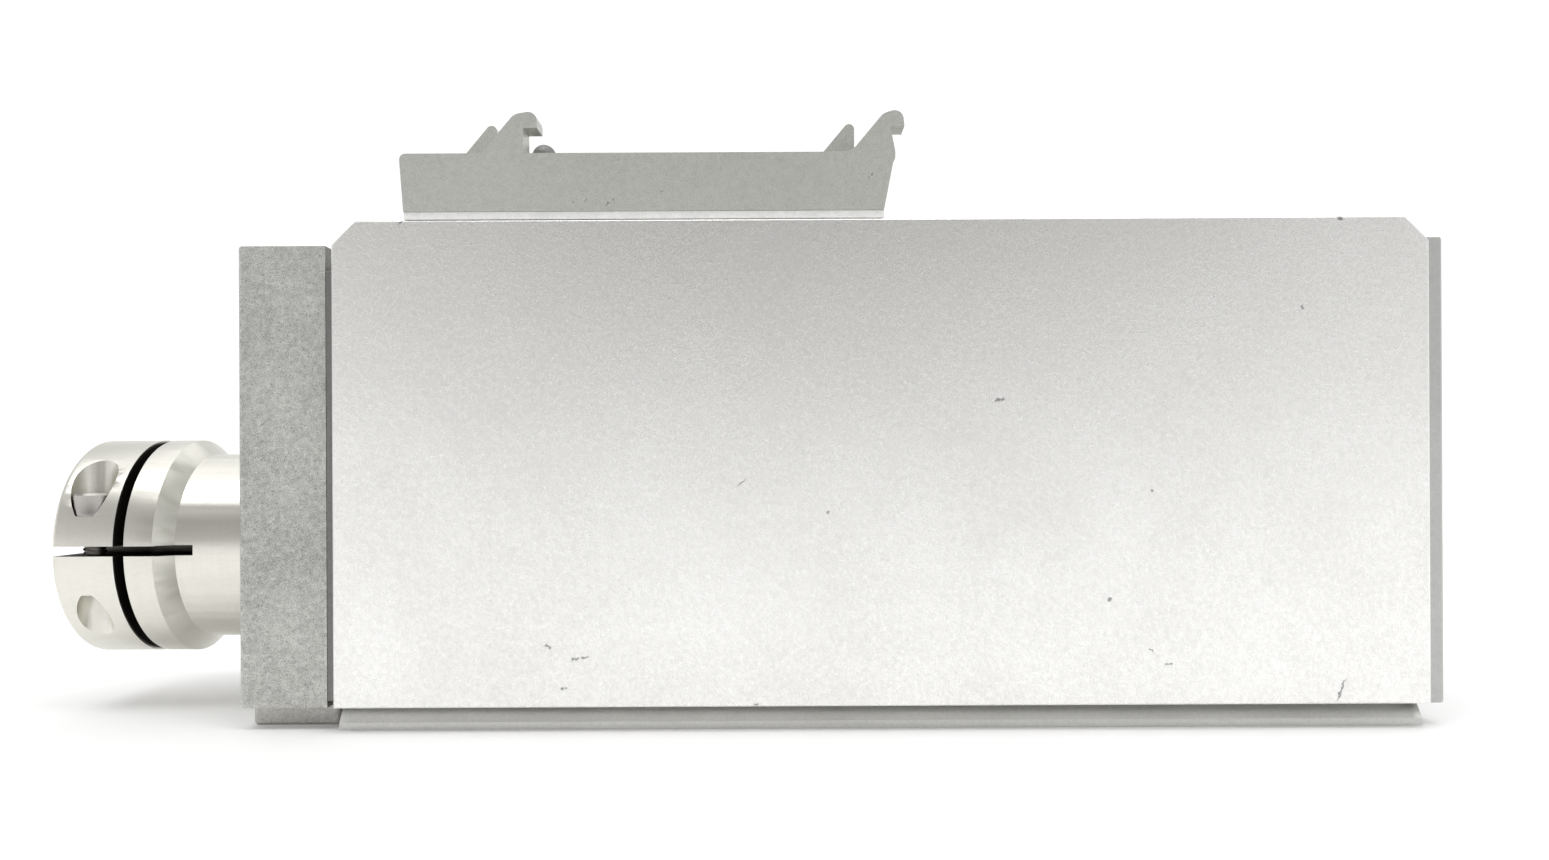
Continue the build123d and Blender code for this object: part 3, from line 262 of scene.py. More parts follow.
CARRIAGE_SCUFFS = (
    (-48.6, 88.0, 0.8, 0.5, 20),
    (-45.0, 87.4, 1.0, 0.5, 35),
    (-44.0, 88.1, 0.7, 0.4, 60),
    (-50.6, 87.6, 0.6, 0.4, 0),
    (-36.0, 89.2, 0.7, 0.4, 10),
    (-1.6, 91.8, 1.6, 0.35, 45),
    (-20.5, 95.6, 0.8, 0.35, 5),
)
SCUFF_COLOUR = (0.17, 0.17, 0.18)
SCUFF_STRENGTH = 0.75
SCUFF_DEPTH_MM = 0.04
RAGGED = 0.3 * MM           # how far a scuff's sides wander
FRONT_SKIN = 0.3 * MM       # the marks reach this far in from the front face


def scuff(tree, x_mm, z_mm, length_mm, width_mm, angle):
    """Mask of one short scratch in the X and Z plane, 1 in its middle and 0 away from it."""
    separated = axes_of(tree, row_places(tree))
    along_x = combine(tree, "SUBTRACT", separated["X"], x_mm * MM)
    along_z = combine(tree, "SUBTRACT", separated["Z"], z_mm * MM)
    cos, sin = math.cos(math.radians(angle)), math.sin(math.radians(angle))
    along = total(tree, (along_x, cos), (along_z, sin))
    across = total(tree, (along_x, -sin), (along_z, cos))
    wander = noise(tree, row_places(tree), 0.8, detail=3, roughness=0.7)
    across = combine(tree, "ADD", across, remap(tree, wander, 0.3, 0.7, -RAGGED, RAGGED))
    half_length, half_width = length_mm * MM / 2, width_mm * MM / 2
    in_length = remap(tree, combine(tree, "ABSOLUTE", along), half_length * 0.6, half_length, 1, 0)
    in_width = remap(tree, combine(tree, "ABSOLUTE", across), half_width * 0.3, half_width, 1, 0)
    return combine(tree, "MULTIPLY", in_length, in_width)


def scuffs_on(tree, node, places_on_face):
    """Mask of all the marks on the front face of a node."""
    mask = strongest(tree, [scuff(tree, *place) for place in places_on_face])
    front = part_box(node)[0].y + FRONT_SKIN
    on_front = combine(tree, "LESS_THAN", axes_of(tree, row_places(tree))["Y"], front)
    return combine(tree, "MULTIPLY", mask, on_front)


# ---------------------------------------------------------------- kinds of surface
def blasted(name, base, contrast, roughness, grain_mm, depth_mm, scuffs=(), marked_node=""):
    """Bead-blasted, clear-anodised aluminium: grain, specks, soft clouds, handling marks.

    The marks are on the front face of the named node."""
    tree, shader = new_material(name, metallic=1.0)
    places = row_places(tree)
    grain = texture(tree, places, grain_mm, detail=3, roughness=0.75, spread=0.16)
    clumps = texture(tree, places, grain_mm * 4, detail=3, roughness=0.6, spread=0.18)
    clouds = texture(tree, places, size_mm=22, detail=4, roughness=0.5)
    speckle = noise(tree, places, grain_mm * 1.6, detail=2, roughness=0.6)
    specks = remap(tree, speckle, 0.33, 0.4, 1, 0)
    share = total(tree, (grain, 0.5), (clumps, 0.3), (clouds, 0.2))
    colour = tones(tree, share, base, 1 - contrast, 1 + contrast)
    colour = stained(tree, colour, specks, 0.5, shade(base, 1 - 1.2 * contrast))
    heights = [(grain, depth_mm), (clumps, depth_mm * 0.8)]
    if scuffs:
        mask = scuffs_on(tree, marked_node, scuffs)
        colour = stained(tree, colour, mask, SCUFF_STRENGTH, SCUFF_COLOUR)
        heights.append((combine(tree, "MULTIPLY", mask, -1), SCUFF_DEPTH_MM))
    rough = remap(tree, share, 0.2, 0.8, roughness + 0.05, roughness - 0.05)
    finish(tree, shader, colour, rough, heights)


def milled(name, base, roughness, direction):
    """Machined metal: fine feed lines along one axis, faint stains and clouds."""
    tree, shader = new_material(name, metallic=1.0)
    places = row_places(tree)
    lines = texture(tree, stretched(tree, places, direction), 0.25, detail=4, roughness=0.65)
    grain = texture(tree, places, size_mm=0.22, detail=3, roughness=0.7, spread=0.16)
    clouds = texture(tree, places, size_mm=14, detail=4, roughness=0.6, spread=0.18)
    stains = remap(tree, noise(tree, places, size_mm=5, detail=5, roughness=0.7), 0.56, 0.72)
    share = total(tree, (lines, 0.3), (grain, 0.35), (clouds, 0.35))
    colour = tones(tree, share, base, 0.93, 1.05)
    colour = stained(tree, colour, stains, 0.35, shade(base, 0.86))
    rough = remap(tree, share, 0.2, 0.8, roughness + 0.06, roughness - 0.05)
    finish(tree, shader, colour, rough, [(lines, 0.006), (grain, 0.004)])


HUB_RADIUS = 20 * MM
HUB_BORE = 7 * MM
CROSS_SLIT = -133.15 * MM   # middle of the slit across the hub
CROSS_SLIT_WIDTH = 1.9 * MM
AXIAL_SLOT_WIDTH = 1.75 * MM
AXIAL_SLOT_END = -121.3 * MM
# painted shade: near-black colour for the walls of the bore and the saw cuts, where shade falls
INSIDE_PAINTED_SHADE = (0.045, 0.04, 0.034)
INSIDE_ROUGHNESS = 0.6


def ring_places(tree):
    """Place along the screw axis and distance from it, for marks that run round that axis."""
    separated = axes_of(tree, row_places(tree))
    height = combine(tree, "SUBTRACT", separated["Z"], AXIS_Z)
    squares = [combine(tree, "POWER", side, 2) for side in (separated["Y"], height)]
    radius = combine(tree, "SQRT", combine(tree, "ADD", *squares))
    return add(tree, "ShaderNodeCombineXYZ", X=separated["X"], Y=radius).outputs["Vector"]


def inside_mask(tree):
    """Share from 0 to 1 that is 1 on the walls of the hub's bore and of its two saw cuts, where
    shade is painted.
    """
    separated = axes_of(tree, row_places(tree))
    radius = axes_of(tree, ring_places(tree))["Y"]
    bore = remap(tree, radius, HUB_BORE + 0.1 * MM, HUB_BORE + 0.4 * MM, 1, 0)
    below_skin = remap(tree, radius, HUB_RADIUS - 0.5 * MM, HUB_RADIUS - 0.2 * MM, 1, 0)
    slit = near(tree, separated["X"], CROSS_SLIT, CROSS_SLIT_WIDTH / 2)
    slot = near(tree, separated["Z"], AXIS_Z, AXIAL_SLOT_WIDTH / 2)
    in_front = combine(tree, "LESS_THAN", separated["Y"], 0.0)
    in_length = combine(tree, "LESS_THAN", separated["X"], AXIAL_SLOT_END)
    slot = product(tree, slot, in_front, in_length)
    cuts = product(tree, strongest(tree, [slit, slot]), below_skin)
    return strongest(tree, [bore, cuts])


def turned(name, base, roughness, line_depth_mm):
    """Lathe-turned metal: rings round the screw axis, short dashes, and painted shade on the walls
    of the bore and of the cuts.
    """
    tree, shader = new_material(name, metallic=1.0)
    places = row_places(tree)
    rings = texture(tree, ring_places(tree), size_mm=0.16, detail=3, roughness=0.7)
    wide_rings = texture(tree, ring_places(tree), size_mm=1.4, detail=3, roughness=0.6)
    along_x = stretched(tree, places, (0.25, 1, 1))
    dashes = texture(tree, along_x, size_mm=0.3, detail=3, roughness=0.7, spread=0.18)
    clouds = texture(tree, places, size_mm=7, detail=4, roughness=0.55)
    share = total(tree, (rings, 0.3), (wide_rings, 0.15), (dashes, 0.3), (clouds, 0.25))
    inside = inside_mask(tree)
    colour = tones(tree, share, base, 0.88, 1.06)
    # painted shade on the walls of the bore and the cuts
    colour = blend_colours(tree, inside, colour, INSIDE_PAINTED_SHADE)
    rough = remap(tree, share, 0.2, 0.8, roughness + 0.07, roughness - 0.05)
    rough = strongest(tree, [rough, combine(tree, "MULTIPLY", inside, INSIDE_ROUGHNESS)])
    finish(tree, shader, colour, rough, [(rings, line_depth_mm), (dashes, line_depth_mm * 0.6)])


def steel(name, base, roughness, direction):
    """Ground or hardened steel: fine streaks along one axis, light oil clouds."""
    tree, shader = new_material(name, metallic=1.0)
    places = row_places(tree)
    streaks = texture(tree, stretched(tree, places, direction), 0.12, detail=4, roughness=0.7)
    oil = remap(tree, noise(tree, places, size_mm=6, detail=4, roughness=0.6), 0.4, 0.7)
    colour = tones(tree, streaks, base, 0.88, 1.08)
    colour = stained(tree, colour, oil, 0.3, shade(base, 0.78))
    rough = combine(tree, "ADD", total(tree, (streaks, -0.06), (oil, -0.05)), roughness)
    finish(tree, shader, colour, rough, [(streaks, 0.002)])


DUST_COLOUR = (0.42, 0.42, 0.41)


def moulded(name, base, roughness, grain_mm, depth_mm):
    """Moulded plastic or rubber: fine skin, dusty clouds, paler worn edges."""
    tree, shader = new_material(name)
    places = row_places(tree)
    skin = texture(tree, places, grain_mm, detail=3, roughness=0.65)
    dust = remap(tree, noise(tree, places, size_mm=5, detail=5, roughness=0.6), 0.42, 0.7)
    colour = tones(tree, skin, base, 0.86, 1.1)
    colour = stained(tree, colour, dust, 0.18, DUST_COLOUR)
    colour = stained(tree, colour, edge_wear(tree, width_mm=1.0), 0.2, DUST_COLOUR)
    rough = remap(tree, skin, 0, 1, roughness - 0.06, roughness + 0.08)
    finish(tree, shader, colour, rough, [(skin, depth_mm)])


# ---------------------------------------------------------------- materials
COVER = (0.945, 0.938, 0.918)
BASE = (0.70, 0.70, 0.68)
PLATE = (0.51, 0.512, 0.488)
CARRIAGE = (0.615, 0.625, 0.585)
CAP = (0.55, 0.555, 0.54)
# the drive bearing block is coloured dark as painted shade, for its recess behind the covers
BLOCK_IN_PAINTED_SHADE = (0.23, 0.226, 0.222)
FOOT = (0.50, 0.49, 0.465)
PIN = (0.26, 0.26, 0.25)
HUB = (0.79, 0.777, 0.715)
SLEEVE = (0.16, 0.15, 0.13)
GROUND_STEEL = (0.60, 0.61, 0.62)
BEARING_STEEL = (0.64, 0.65, 0.66)
SCREW_STEEL = (0.46, 0.44, 0.42)
SPRING_STEEL = (0.15, 0.15, 0.16)
BLACK_RUBBER = (0.024, 0.024, 0.025)
BLACK_PLASTIC = (0.045, 0.045, 0.048)
WHITE_PLASTIC = (0.86, 0.86, 0.85)

ALONG_X = (0.04, 1, 1)
NO_DIRECTION = (1, 1, 1)

# name, colour, contrast, roughness, grain size and depth of the relief in mm
blasted("blasted_anodised", BASE, 0.1, 0.44, 0.17, 0.006)
blasted("cover_blasted", COVER, 0.18, 0.29, 0.17, 0.009, COVER_SCUFFS, "front_side_cover")
blasted("carriage_blasted", CARRIAGE, 0.24, 0.46, 0.22, 0.01, CARRIAGE_SCUFFS, "carriage_plate")
blasted("cap_blasted", CAP, 0.12, 0.46, 0.2, 0.006)
# dark colour of the drive bearing block: painted shade for its recess
blasted("block_in_painted_shade", BLOCK_IN_PAINTED_SHADE, 0.2, 0.5, 0.2, 0.008)
blasted("foot_blasted", FOOT, 0.25, 0.5, 0.2, 0.01)
blasted("pin_blasted", PIN, 0.1, 0.62, 0.2, 0.004)
blasted("coarse_blasted_anodised", PLATE, 0.6, 0.42, 0.2, 0.024)
milled("machined_aluminium", CARRIAGE, roughness=0.42, direction=ALONG_X)
turned("turned_aluminium", HUB, roughness=0.33, line_depth_mm=0.003)
steel("sleeve_bronze", SLEEVE, roughness=0.4, direction=NO_DIRECTION)
steel("ground_steel", GROUND_STEEL, roughness=0.28, direction=ALONG_X)
steel("bearing_steel", BEARING_STEEL, roughness=0.18, direction=NO_DIRECTION)
steel("screw_steel", SCREW_STEEL, roughness=0.34, direction=NO_DIRECTION)
steel("spring_steel", SPRING_STEEL, roughness=0.38, direction=NO_DIRECTION)
moulded("black_rubber", BLACK_RUBBER, roughness=0.68, grain_mm=0.3, depth_mm=0.012)
moulded("black_plastic", BLACK_PLASTIC, roughness=0.48, grain_mm=0.35, depth_mm=0.008)
moulded("white_plastic", WHITE_PLASTIC, roughness=0.42, grain_mm=0.25, depth_mm=0.004)


# ---------------------------------------------------------------- mesh helpers
WELD = 0.002 * MM
FLAT_ANGLE = math.radians(1.5)
EDGE_ANGLE = math.radians(32)
SMOOTH_ANGLE = math.radians(38)
EDGE_SEGMENTS = 3


def finished(data, node, material=None):
    """Piece that stands for a CAD node: it rides on its body and takes its finish."""
    slot = slot_of[node]
    data.materials.clear()
    data.materials.append(material or materials[slot])
    piece = bpy.data.objects.new(node + "_look", data)
    scene.collection.objects.link(piece)
    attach(piece, body_of[node])
    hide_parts(node)
    return piece


def welded(node):
    """Editable copy of a CAD node's mesh, with its doubled points joined."""
    mesh = bmesh.new()
    mesh.from_mesh(nodes[node].data)
    bmesh.ops.remove_doubles(mesh, verts=mesh.verts, dist=WELD)
    return mesh


def as_data(mesh, node):
    """Mesh data with smooth shading between its sharp edges."""
    data = bpy.data.meshes.new(node + "_look")
    mesh.to_mesh(data)
    mesh.free()
    for face in data.polygons:
        face.use_smooth = True
    data.set_sharp_from_angle(angle=SMOOTH_ANGLE)
    return data


def softened(node, edge_mm, material=None):
    """CAD node's shape with its flat faces joined up and its sharp edges rounded."""
    mesh = welded(node)
    bmesh.ops.dissolve_limit(mesh, angle_limit=FLAT_ANGLE, verts=mesh.verts, edges=mesh.edges)
    piece = finished(as_data(mesh, node), node, material)
    bevel = piece.modifiers.new("rounded_edges", "BEVEL")
    bevel.width = edge_mm * MM
    bevel.segments = EDGE_SEGMENTS
    bevel.limit_method = "ANGLE"
    bevel.angle_limit = EDGE_ANGLE
    bevel.harden_normals = True


def island(start, unseen):
    """Places of all the points joined to one, which are taken from the unseen ones."""
    front = [start]
    found = []
    while front:
        vertex = front.pop()
        found.append(vertex.co.copy())
        for edge in vertex.link_edges:
            other = edge.other_vert(vertex)
            if other in unseen:
                unseen.remove(other)
                front.append(other)
    return found


def solid_boxes(node):
    """Lowest and highest corner of each separate solid in a CAD node."""
    mesh = welded(node)
    unseen = set(mesh.verts)
    boxes = []
    while unseen:
        found = island(unseen.pop(), unseen)
        low = Vector(min(place[i] for place in found) for i in range(3))
        high = Vector(max(place[i] for place in found) for i in range(3))
        boxes.append((low, high))
    mesh.free()
    return sorted(boxes, key=lambda box: tuple(box[0]))


def ring(radius, height, count):
    """Ring about Z; the radius is a number or a function of the angle."""
    places = []
    for i in range(count):
        angle = 2 * math.pi * i / count
        reach = radius(angle) if callable(radius) else radius
        places.append(Vector((reach * math.cos(angle), reach * math.sin(angle), height)))
    return places


def skin(mesh, rings):
    """Closed skin over a list of rings, each a list of the same number of places."""
    made = [[mesh.verts.new(place) for place in one] for one in rings]
    count = len(made[0])
    for lower, upper in zip(made, made[1:]):
        for i in range(count):
            j = (i + 1) % count
            mesh.faces.new((lower[i], lower[j], upper[j], upper[i]))
    mesh.faces.new(list(reversed(made[0])))
    mesh.faces.new(made[-1])


# ---------------------------------------------------------------- screws
SCREW_SEGMENTS = 72
KNURL_COUNT = 36
KNURL_DEPTH = 0.07 * MM
KNURL_SPAN = (0.17, 0.84)   # start and end, as shares of the head's height
KNURL_PLAIN = 0.12          # plain part of the head below the knurls
HEAD_RIM = 0.09             # chamfer at the top, as a share of the head's height
HEAD_FOOT = 0.1 * MM        # chamfer at the bottom
SOCKET_DEPTH = 0.55         # as a share of the head's height
SOCKET_LEAD_IN = 0.12 * MM
DRILL_POINT = (0.12, 0.25)  # radius and depth below the socket, as shares of the key size
THREAD_STEPS = 8            # rings in one turn of thread
THREAD_DEPTH = 0.55         # as a share of the pitch
TIP_LENGTH = 0.4 * MM
TIP_RADIUS = 0.78           # as a share of the thread's radius
PITCHES = {3: 0.5, 4: 0.7, 5: 0.8}

FLAT_SOCKET_DEPTH = 0.7     # as a share of the head's height
FLAT_DRILL_POINT = 0.12     # radius and depth below the socket, as a share of the key size
FLAT_RIM = (0.05 * MM, 0.12 * MM)   # how far the edge of the head steps in, below and on top
FLAT_LEAD_IN = 0.1 * MM


def screw_ring(radius, height):
    """Ring of a screw."""
    return ring(radius, height, SCREW_SEGMENTS)


def hexagon(flats, spare=0.0):
    """Radius of a hexagon with the given size across flats, by angle, and a bit to spare."""
    sector = math.pi / 3

    def radius(angle):
        return flats / 2 / math.cos(angle % sector - sector / 2) + spare

    return radius


def knurled(radius):
    """Radius of a head with fine straight knurling, by angle."""

    def wavy(angle):
        return radius - KNURL_DEPTH * (0.5 + 0.5 * math.cos(KNURL_COUNT * angle))

    return wavy


def threaded(radius, pitch, height):
    """Radius of a thread at one height, by angle."""
    depth = THREAD_DEPTH * pitch

    def cut(angle):
        phase = (height / pitch + angle / (2 * math.pi)) % 1
        return radius - depth * abs(2 * phase - 1)

    return cut


def shank_rings(size, length, drop=0.0):
    """Rings of a threaded shank from its tip up to its head, all lowered by the drop."""
    radius, pitch = size / 2 * MM, PITCHES[size] * MM
    rings = [screw_ring(radius * TIP_RADIUS, -length - drop)]
    steps = int((length - TIP_LENGTH) / (pitch / THREAD_STEPS))
    for i in range(steps + 1):
        height = -length + TIP_LENGTH + (length - TIP_LENGTH) * i / steps
        rings.append(screw_ring(threaded(radius, pitch, height), height - drop))
    return rings


def socket_head(mesh, size, head_radius, head_height, flats, length):
    """Cap screw with a knurled head, a hexagon socket and a threaded shank."""
    rim = HEAD_RIM * head_height
    floor_height = head_height * (1 - SOCKET_DEPTH)
    point_radius, point_depth = (share * flats for share in DRILL_POINT)
    knurl_start, knurl_end = (share * head_height for share in KNURL_SPAN)
    head = [
        screw_ring(head_radius - HEAD_FOOT, 0),
        screw_ring(head_radius, HEAD_FOOT),
        screw_ring(head_radius, KNURL_PLAIN * head_height),
        screw_ring(knurled(head_radius), knurl_start),
        screw_ring(knurled(head_radius), knurl_end),
        screw_ring(head_radius, head_height - rim),
        screw_ring(head_radius - rim, head_height),
        screw_ring(hexagon(flats, SOCKET_LEAD_IN), head_height),
        screw_ring(hexagon(flats), head_height - SOCKET_LEAD_IN),
        screw_ring(hexagon(flats), floor_height),
        screw_ring(point_radius, floor_height - point_depth),
    ]
    skin(mesh, shank_rings(size, length) + head)


def flat_head(mesh, size, head_radius, head_height, flats, length):
    """Countersunk screw with a hexagon socket; its head's top is at the origin."""
    depth = FLAT_SOCKET_DEPTH * head_height
    point = FLAT_DRILL_POINT * flats
    below, on_top = FLAT_RIM
    head = [
        screw_ring(head_radius - below, -FLAT_LEAD_IN),
        screw_ring(head_radius - on_top, 0),
        screw_ring(hexagon(flats, FLAT_LEAD_IN), 0),
        screw_ring(hexagon(flats), -FLAT_LEAD_IN),
        screw_ring(hexagon(flats), -depth),
        screw_ring(point, -depth - point),
    ]
    skin(mesh, shank_rings(size, length - head_height, drop=head_height) + head)


# by thread size: head radius, head height and key size in mm
HEADS = {
    socket_head: {3: (2.75, 3.0, 2.5), 4: (3.5, 4.0, 3.0), 5: (4.25, 5.0, 4.0)},
    flat_head: {3: (3.0, 1.7, 2.0), 4: (4.0, 2.3, 2.5)},
}
UP, DOWN = Vector((0, 0, 1)), Vector((0, 0, -1))
DRIVE, IDLE = Vector((-1, 0, 0)), Vector((1, 0, 0))

# node: (thread size, builder, direction that the head faces)
SCREW_NODES = {
    "clamp_screw": (4, socket_head, UP),
    "hub_bolt": (5, socket_head, DRIVE),
    "beam_screws": (4, socket_head, DOWN),
    "bearing_block_screws": (4, socket_head, DOWN),
    "drive_end_plate_screws": (4, socket_head, DRIVE),
    "nut_screws": (4, socket_head, UP),
    "rail_screws": (3, socket_head, UP),
    "runner_screws": (3, socket_head, UP),
    "riser_screws": (3, socket_head, DOWN),
    "retainer_screws": (3, socket_head, DRIVE),
    "top_cover_screws": (3, socket_head, UP),
    "carriage_screws": (3, socket_head, UP),
    "foot_screws": (3, flat_head, DOWN),
    "idle_cap_screws": (4, flat_head, IDLE),
}


def screws(node):
    """Detailed screws in the places of a CAD node's plain ones."""
    size, builder, facing = SCREW_NODES[node]
    head_radius, head_height, flats = (number * MM for number in HEADS[builder][size])
    above_origin = head_height if builder is socket_head else 0
    turn = facing.to_track_quat("Z", "Y").to_matrix().to_4x4()
    whole = bmesh.new()
    for low, high in solid_boxes(node):
        length = abs((high - low).dot(facing))
        head_top = (low + high) / 2 + facing * length / 2
        start = len(whole.verts)
        builder(whole, size, head_radius, head_height, flats, length - above_origin)
        whole.verts.ensure_lookup_table()
        place = Matrix.Translation(head_top - facing * above_origin) @ turn
        bmesh.ops.transform(whole, matrix=place, verts=whole.verts[start:])
    bmesh.ops.recalc_face_normals(whole, faces=whole.faces)
    finished(as_data(whole, node), node)


# ---------------------------------------------------------------- ball screw
LEAD = 5 * MM
TRACK_RADIUS = 1.5 * MM
TRACK_CENTRE = 8.35 * MM    # centre of the track's section, from the axis
THREAD_START, THREAD_END = -73.7 * MM, 77 * MM
THREAD_CHAMFER = 1 * MM
HUB_JOURNAL, BEARING_JOURNAL, IDLE_JOURNAL = 5.5 * MM, 6 * MM, 5 * MM
JOURNAL_STEP, IDLE_STEP = -97 * MM, 81.7 * MM
CIRCLIP_START, CIRCLIP_END, CIRCLIP_FLOOR = 89.7 * MM, 90.7 * MM, 4.8 * MM
JOURNAL_EDGE = 0.4 * MM
BOLT_HOLE, BOLT_HOLE_DEPTH = 2.5 * MM, 11 * MM
BOLT_HOLE_TIP = 1 * MM      # cone at the bottom of the hole
SHAFT_SEGMENTS = 48
TRACK_SAMPLES = 380


def track(x, outer):
    """Radius by angle at one place along the screw, with the ball track cut in."""

    def radius(angle):
        along = ((x / LEAD + angle / (2 * math.pi)) % 1 - 0.5) * LEAD
        if abs(along) >= TRACK_RADIUS:
            return outer
        return min(outer, TRACK_CENTRE - math.sqrt(TRACK_RADIUS**2 - along**2))

    return radius


def ball_screw():
    """Screw with a helical ball track between plain journals."""
    low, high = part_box("ball_screw")
    outer = (high.y - low.y) / 2
    drive_end = [
        (low.x + BOLT_HOLE_DEPTH + BOLT_HOLE_TIP, BOLT_HOLE * 0.2),
        (low.x + BOLT_HOLE_DEPTH, BOLT_HOLE),
        (low.x, BOLT_HOLE),
        (low.x, HUB_JOURNAL - JOURNAL_EDGE),
        (low.x + JOURNAL_EDGE, HUB_JOURNAL),
        (JOURNAL_STEP, HUB_JOURNAL),
        (JOURNAL_STEP, BEARING_JOURNAL),
        (THREAD_START, BEARING_JOURNAL),
        (THREAD_START, outer - THREAD_CHAMFER),
        (THREAD_START + THREAD_CHAMFER, outer),
    ]
    track_start = THREAD_START + THREAD_CHAMFER
    track_length = THREAD_END - THREAD_START - 2 * THREAD_CHAMFER
    sampled = [track_start + track_length * i / TRACK_SAMPLES for i in range(1, TRACK_SAMPLES)]
    idle_end = [
        (THREAD_END - THREAD_CHAMFER, outer),
        (THREAD_END, outer - THREAD_CHAMFER),
        (THREAD_END, BEARING_JOURNAL),
        (IDLE_STEP, BEARING_JOURNAL),
        (IDLE_STEP, IDLE_JOURNAL),
        (CIRCLIP_START, IDLE_JOURNAL),
        (CIRCLIP_START, CIRCLIP_FLOOR),
        (CIRCLIP_END, CIRCLIP_FLOOR),
        (CIRCLIP_END, IDLE_JOURNAL),
        (high.x - JOURNAL_EDGE, IDLE_JOURNAL),
        (high.x, IDLE_JOURNAL - JOURNAL_EDGE),
    ]
    profile = drive_end + [(x, track(x, outer)) for x in sampled] + idle_end
    mesh = bmesh.new()
    skin(mesh, [ring(radius, x, SHAFT_SEGMENTS) for x, radius in profile])
    along_x = Matrix.Rotation(math.radians(90), 4, "Y")
    place = Matrix.Translation((0, 0, AXIS_Z)) @ along_x
    bmesh.ops.transform(mesh, matrix=place, verts=mesh.verts)
    bmesh.ops.recalc_face_normals(mesh, faces=mesh.faces)
    finished(as_data(mesh, "ball_screw"), "ball_screw")


# ---------------------------------------------------------------- pieces
# Nodes whose finish differs from that of their slot.
OWN_FINISH = {
    "front_side_cover": "cover_blasted",
    "carriage_plate": "carriage_blasted",
    "idle_end_cap": "cap_blasted",
    "drive_bearing_block": "block_in_painted_shade",
    "drive_end_foot": "foot_blasted",
    "locating_pins": "pin_blasted",
    "reducing_sleeve": "sleeve_bronze",
}

# How far the edges of each node are rounded, in mm.
EDGE_WIDTHS = {
    "front_side_cover": 0.1,
    "rear_side_cover": 0.1,
    "base_plate": 0.15,
    "drive_end_plate": 0.25,
    "drive_end_foot": 0.3,
    "idle_end_cap": 0.12,
    "top_cover": 0.2,
    "drive_bearing_block": 0.3,
    "idle_bearing_block": 0.3,
    "front_rail_beam": 0.3,
    "rear_rail_beam": 0.3,
    "front_guide_rail": 0.15,
    "rear_guide_rail": 0.15,
    "coupling_hub": 0.12,
    "reducing_sleeve": 0.15,
    "lock_nut": 0.2,
    "shaft_seal": 0.25,
    "drive_end_bumpers": 0.4,
    "idle_end_bumpers": 0.4,
    "ball_nut": 0.25,
    "front_runner_block": 0.15,
    "rear_runner_block": 0.15,
    "runner_end_caps": 0.25,
    "saddle": 0.25,
    "front_riser": 0.25,
    "rear_riser": 0.25,
    "carriage_plate": 0.38,
    "locating_pins": 0.1,
    "front_glide_strip": 0.15,
    "rear_glide_strip": 0.15,
}
for node, edge_mm in EDGE_WIDTHS.items():
    softened(node, edge_mm, materials.get(OWN_FINISH.get(node)))
for node in SCREW_NODES:
    screws(node)
ball_screw()

# The other CAD nodes stay as they are, with their slot's material.
for name, node in nodes.items():
    if not node.material_slots:
        node.data.materials.append(materials[slot_of[name]])
    for material_slot in node.material_slots:
        material_slot.material = materials[slot_of[name]]
    node.data.set_sharp_from_angle(angle=SMOOTH_ANGLE)


# ---------------------------------------------------------------- light
SIDE_LIGHT = (1.0, 1.0, 1.0)
OVERHEAD_LIGHT = (0.4, 0.4, 0.4)
FRONT_LIGHT = (0.2, 0.192, 0.184)
BACKDROP = (1.1, 1.1, 1.1)

# The dark patch of the surroundings, by the parts of a direction's unit vector
PATCH_FORWARD = (0.1, 0.8)
PATCH_UPWARD = (-0.02, 0.12)
PATCH_SIDEWAYS = (0.1, 0.75)
PATCH_AT_SIDES = 0.25       # how much of the patch is left at its sides
OVERHEAD = (0.25, 0.8)

TOP_BOX_PLACE, TOP_BOX_TARGET = (0.1, 0.3, 1.3), (0, 0, 0.05)
TOP_BOX_SIZE, TOP_BOX_RADIANCE = (2.2, 1.8), 0.85
FRONT_BOX_PLACE, FRONT_BOX_TARGET = (0, -0.45, 1.2), (0, -0.2, 0)
FRONT_BOX_SIZE, FRONT_BOX_RADIANCE = (1.6, 0.5), 3.0


def area_light(name, place, target, size, radiance):
    """Soft box that looks from one place to another; radiance is watts per m2 and steradian."""
    data = bpy.data.lights.new(name, "AREA")
    data.shape = "RECTANGLE"
    data.size, data.size_y = size
    data.energy = radiance * math.pi * size[0] * size[1]
    light = bpy.data.objects.new(name, data)
    scene.collection.objects.link(light)
    light.location = place
    light.rotation_euler = (Vector(target) - Vector(place)).to_track_quat("-Z", "Y").to_euler()


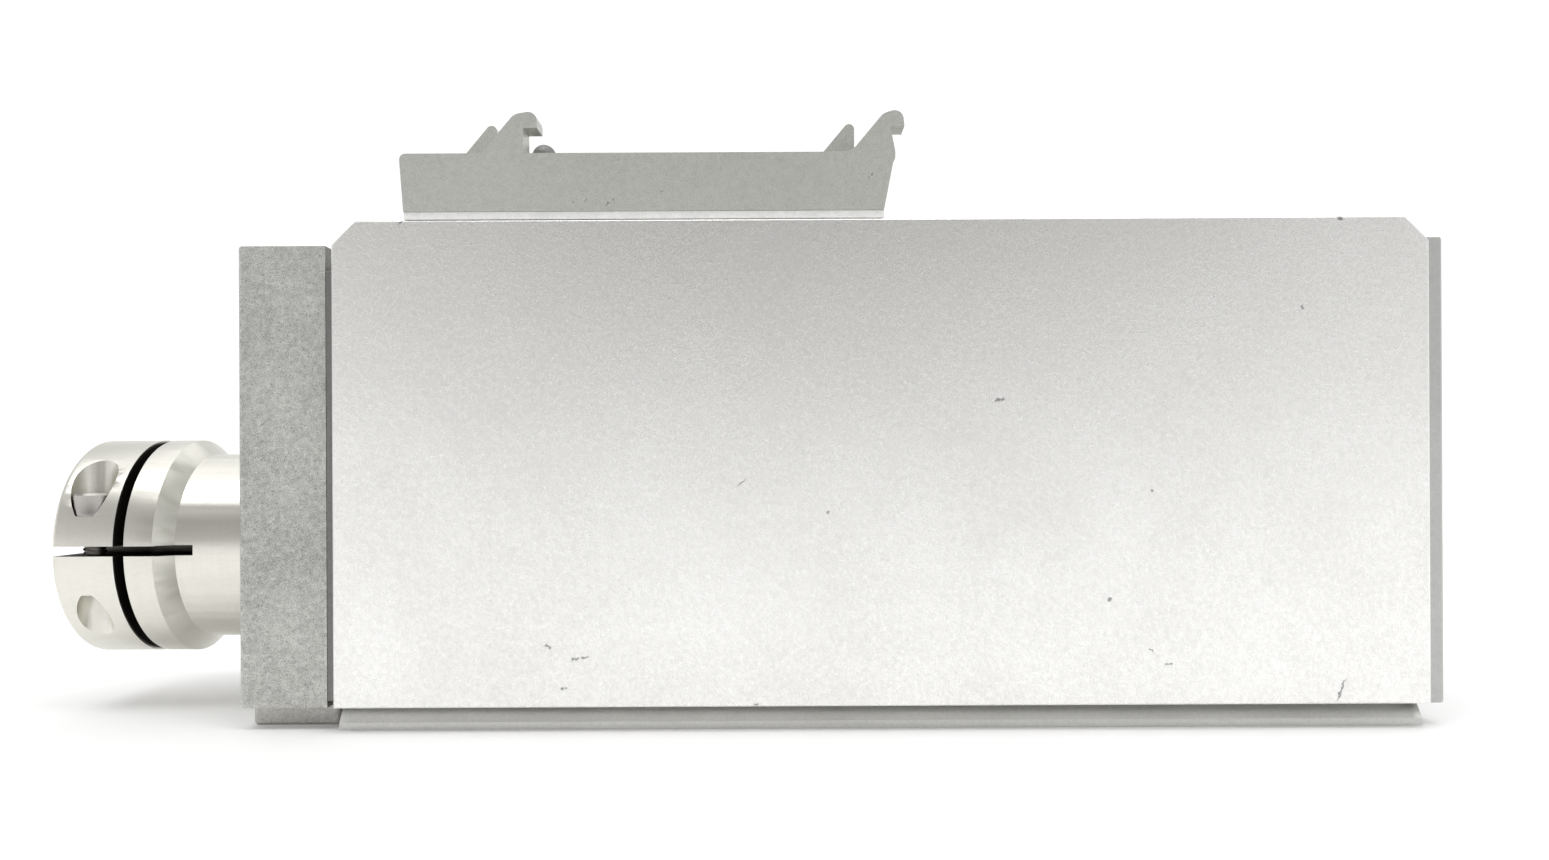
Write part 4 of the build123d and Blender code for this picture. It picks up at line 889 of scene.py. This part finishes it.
def studio_world():
    """White surroundings with a dark patch above the horizon in front; the backdrop is white."""
    world = bpy.data.worlds.new("studio")
    scene.world = world
    world.use_nodes = True
    tree = world.node_tree
    direction = tree.nodes.new("ShaderNodeTexCoord").outputs["Generated"]
    separated = axes_of(tree, direction)
    forward = remap(tree, combine(tree, "MULTIPLY", separated["Y"], -1), *PATCH_FORWARD)
    upward = remap(tree, separated["Z"], *PATCH_UPWARD)
    sideways = combine(tree, "ABSOLUTE", separated["X"])
    middle = remap(tree, sideways, *PATCH_SIDEWAYS, 1, PATCH_AT_SIDES)
    overhead = remap(tree, separated["Z"], *OVERHEAD)
    around = blend_colours(tree, overhead, SIDE_LIGHT, OVERHEAD_LIGHT)
    colour = blend_colours(tree, product(tree, forward, upward, middle), around, FRONT_LIGHT)
    is_camera = tree.nodes.new("ShaderNodeLightPath").outputs["Is Camera Ray"]
    colour = blend_colours(tree, is_camera, colour, BACKDROP)
    tree.links.new(colour, tree.nodes["Background"].inputs["Color"])


scene.view_settings.view_transform = "Standard"
scene.view_settings.look = "None"
studio_world()
area_light("top_box", TOP_BOX_PLACE, TOP_BOX_TARGET, TOP_BOX_SIZE, TOP_BOX_RADIANCE)
area_light("front_box", FRONT_BOX_PLACE, FRONT_BOX_TARGET, FRONT_BOX_SIZE, FRONT_BOX_RADIANCE)


# ---------------------------------------------------------------- floor
FLOOR_REACH = 6.0
FLOOR_DARKER, FLOOR_LIGHTER = (0.92, 0.92, 0.92), (0.95, 0.95, 0.95)
FLOOR_ROUGHNESS = 0.6
# the floor's glow is painted light: an emission that grows with the distance from the origin
GLOW_START, GLOW_END = 0.35, 1.1        # distance from the origin
NEAR_GLOW, FAR_GLOW = 0.1, 0.55
WHITE = (1, 1, 1, 1)


def floor_material():
    """Plain white studio floor with a faint mottle; it glows as painted light, faintly near the
    part, which lifts the shadows there, and more strongly further out, up to the backdrop.
    """
    tree, shader = new_material("floor")
    mottle = noise(tree, row_places(tree), size_mm=60, detail=3, roughness=0.5)
    colour = blend_colours(tree, mottle, FLOOR_DARKER, FLOOR_LIGHTER)
    tree.links.new(colour, shader.inputs["Base Color"])
    shader.inputs["Roughness"].default_value = FLOOR_ROUGHNESS
    distance = tree.nodes.new("ShaderNodeVectorMath")
    distance.operation = "LENGTH"
    tree.links.new(row_places(tree), distance.inputs[0])
    # painted light: the floor emits light, faintly near the part and more further out
    glow = remap(tree, distance.outputs["Value"], GLOW_START, GLOW_END, NEAR_GLOW, FAR_GLOW)
    shader.inputs["Emission Color"].default_value = WHITE
    tree.links.new(glow, shader.inputs["Emission Strength"])


def studio_floor():
    """Wide flat floor under the part."""
    floor_material()
    signs = ((-1, -1), (1, -1), (1, 1), (-1, 1))
    corners = [(x * FLOOR_REACH, y * FLOOR_REACH, 0) for x, y in signs]
    data = bpy.data.meshes.new("floor")
    data.from_pydata(corners, [], [(0, 1, 2, 3)])
    data.materials.append(materials["floor"])
    floor = bpy.data.objects.new("floor", data)
    scene.collection.objects.link(floor)


studio_floor()
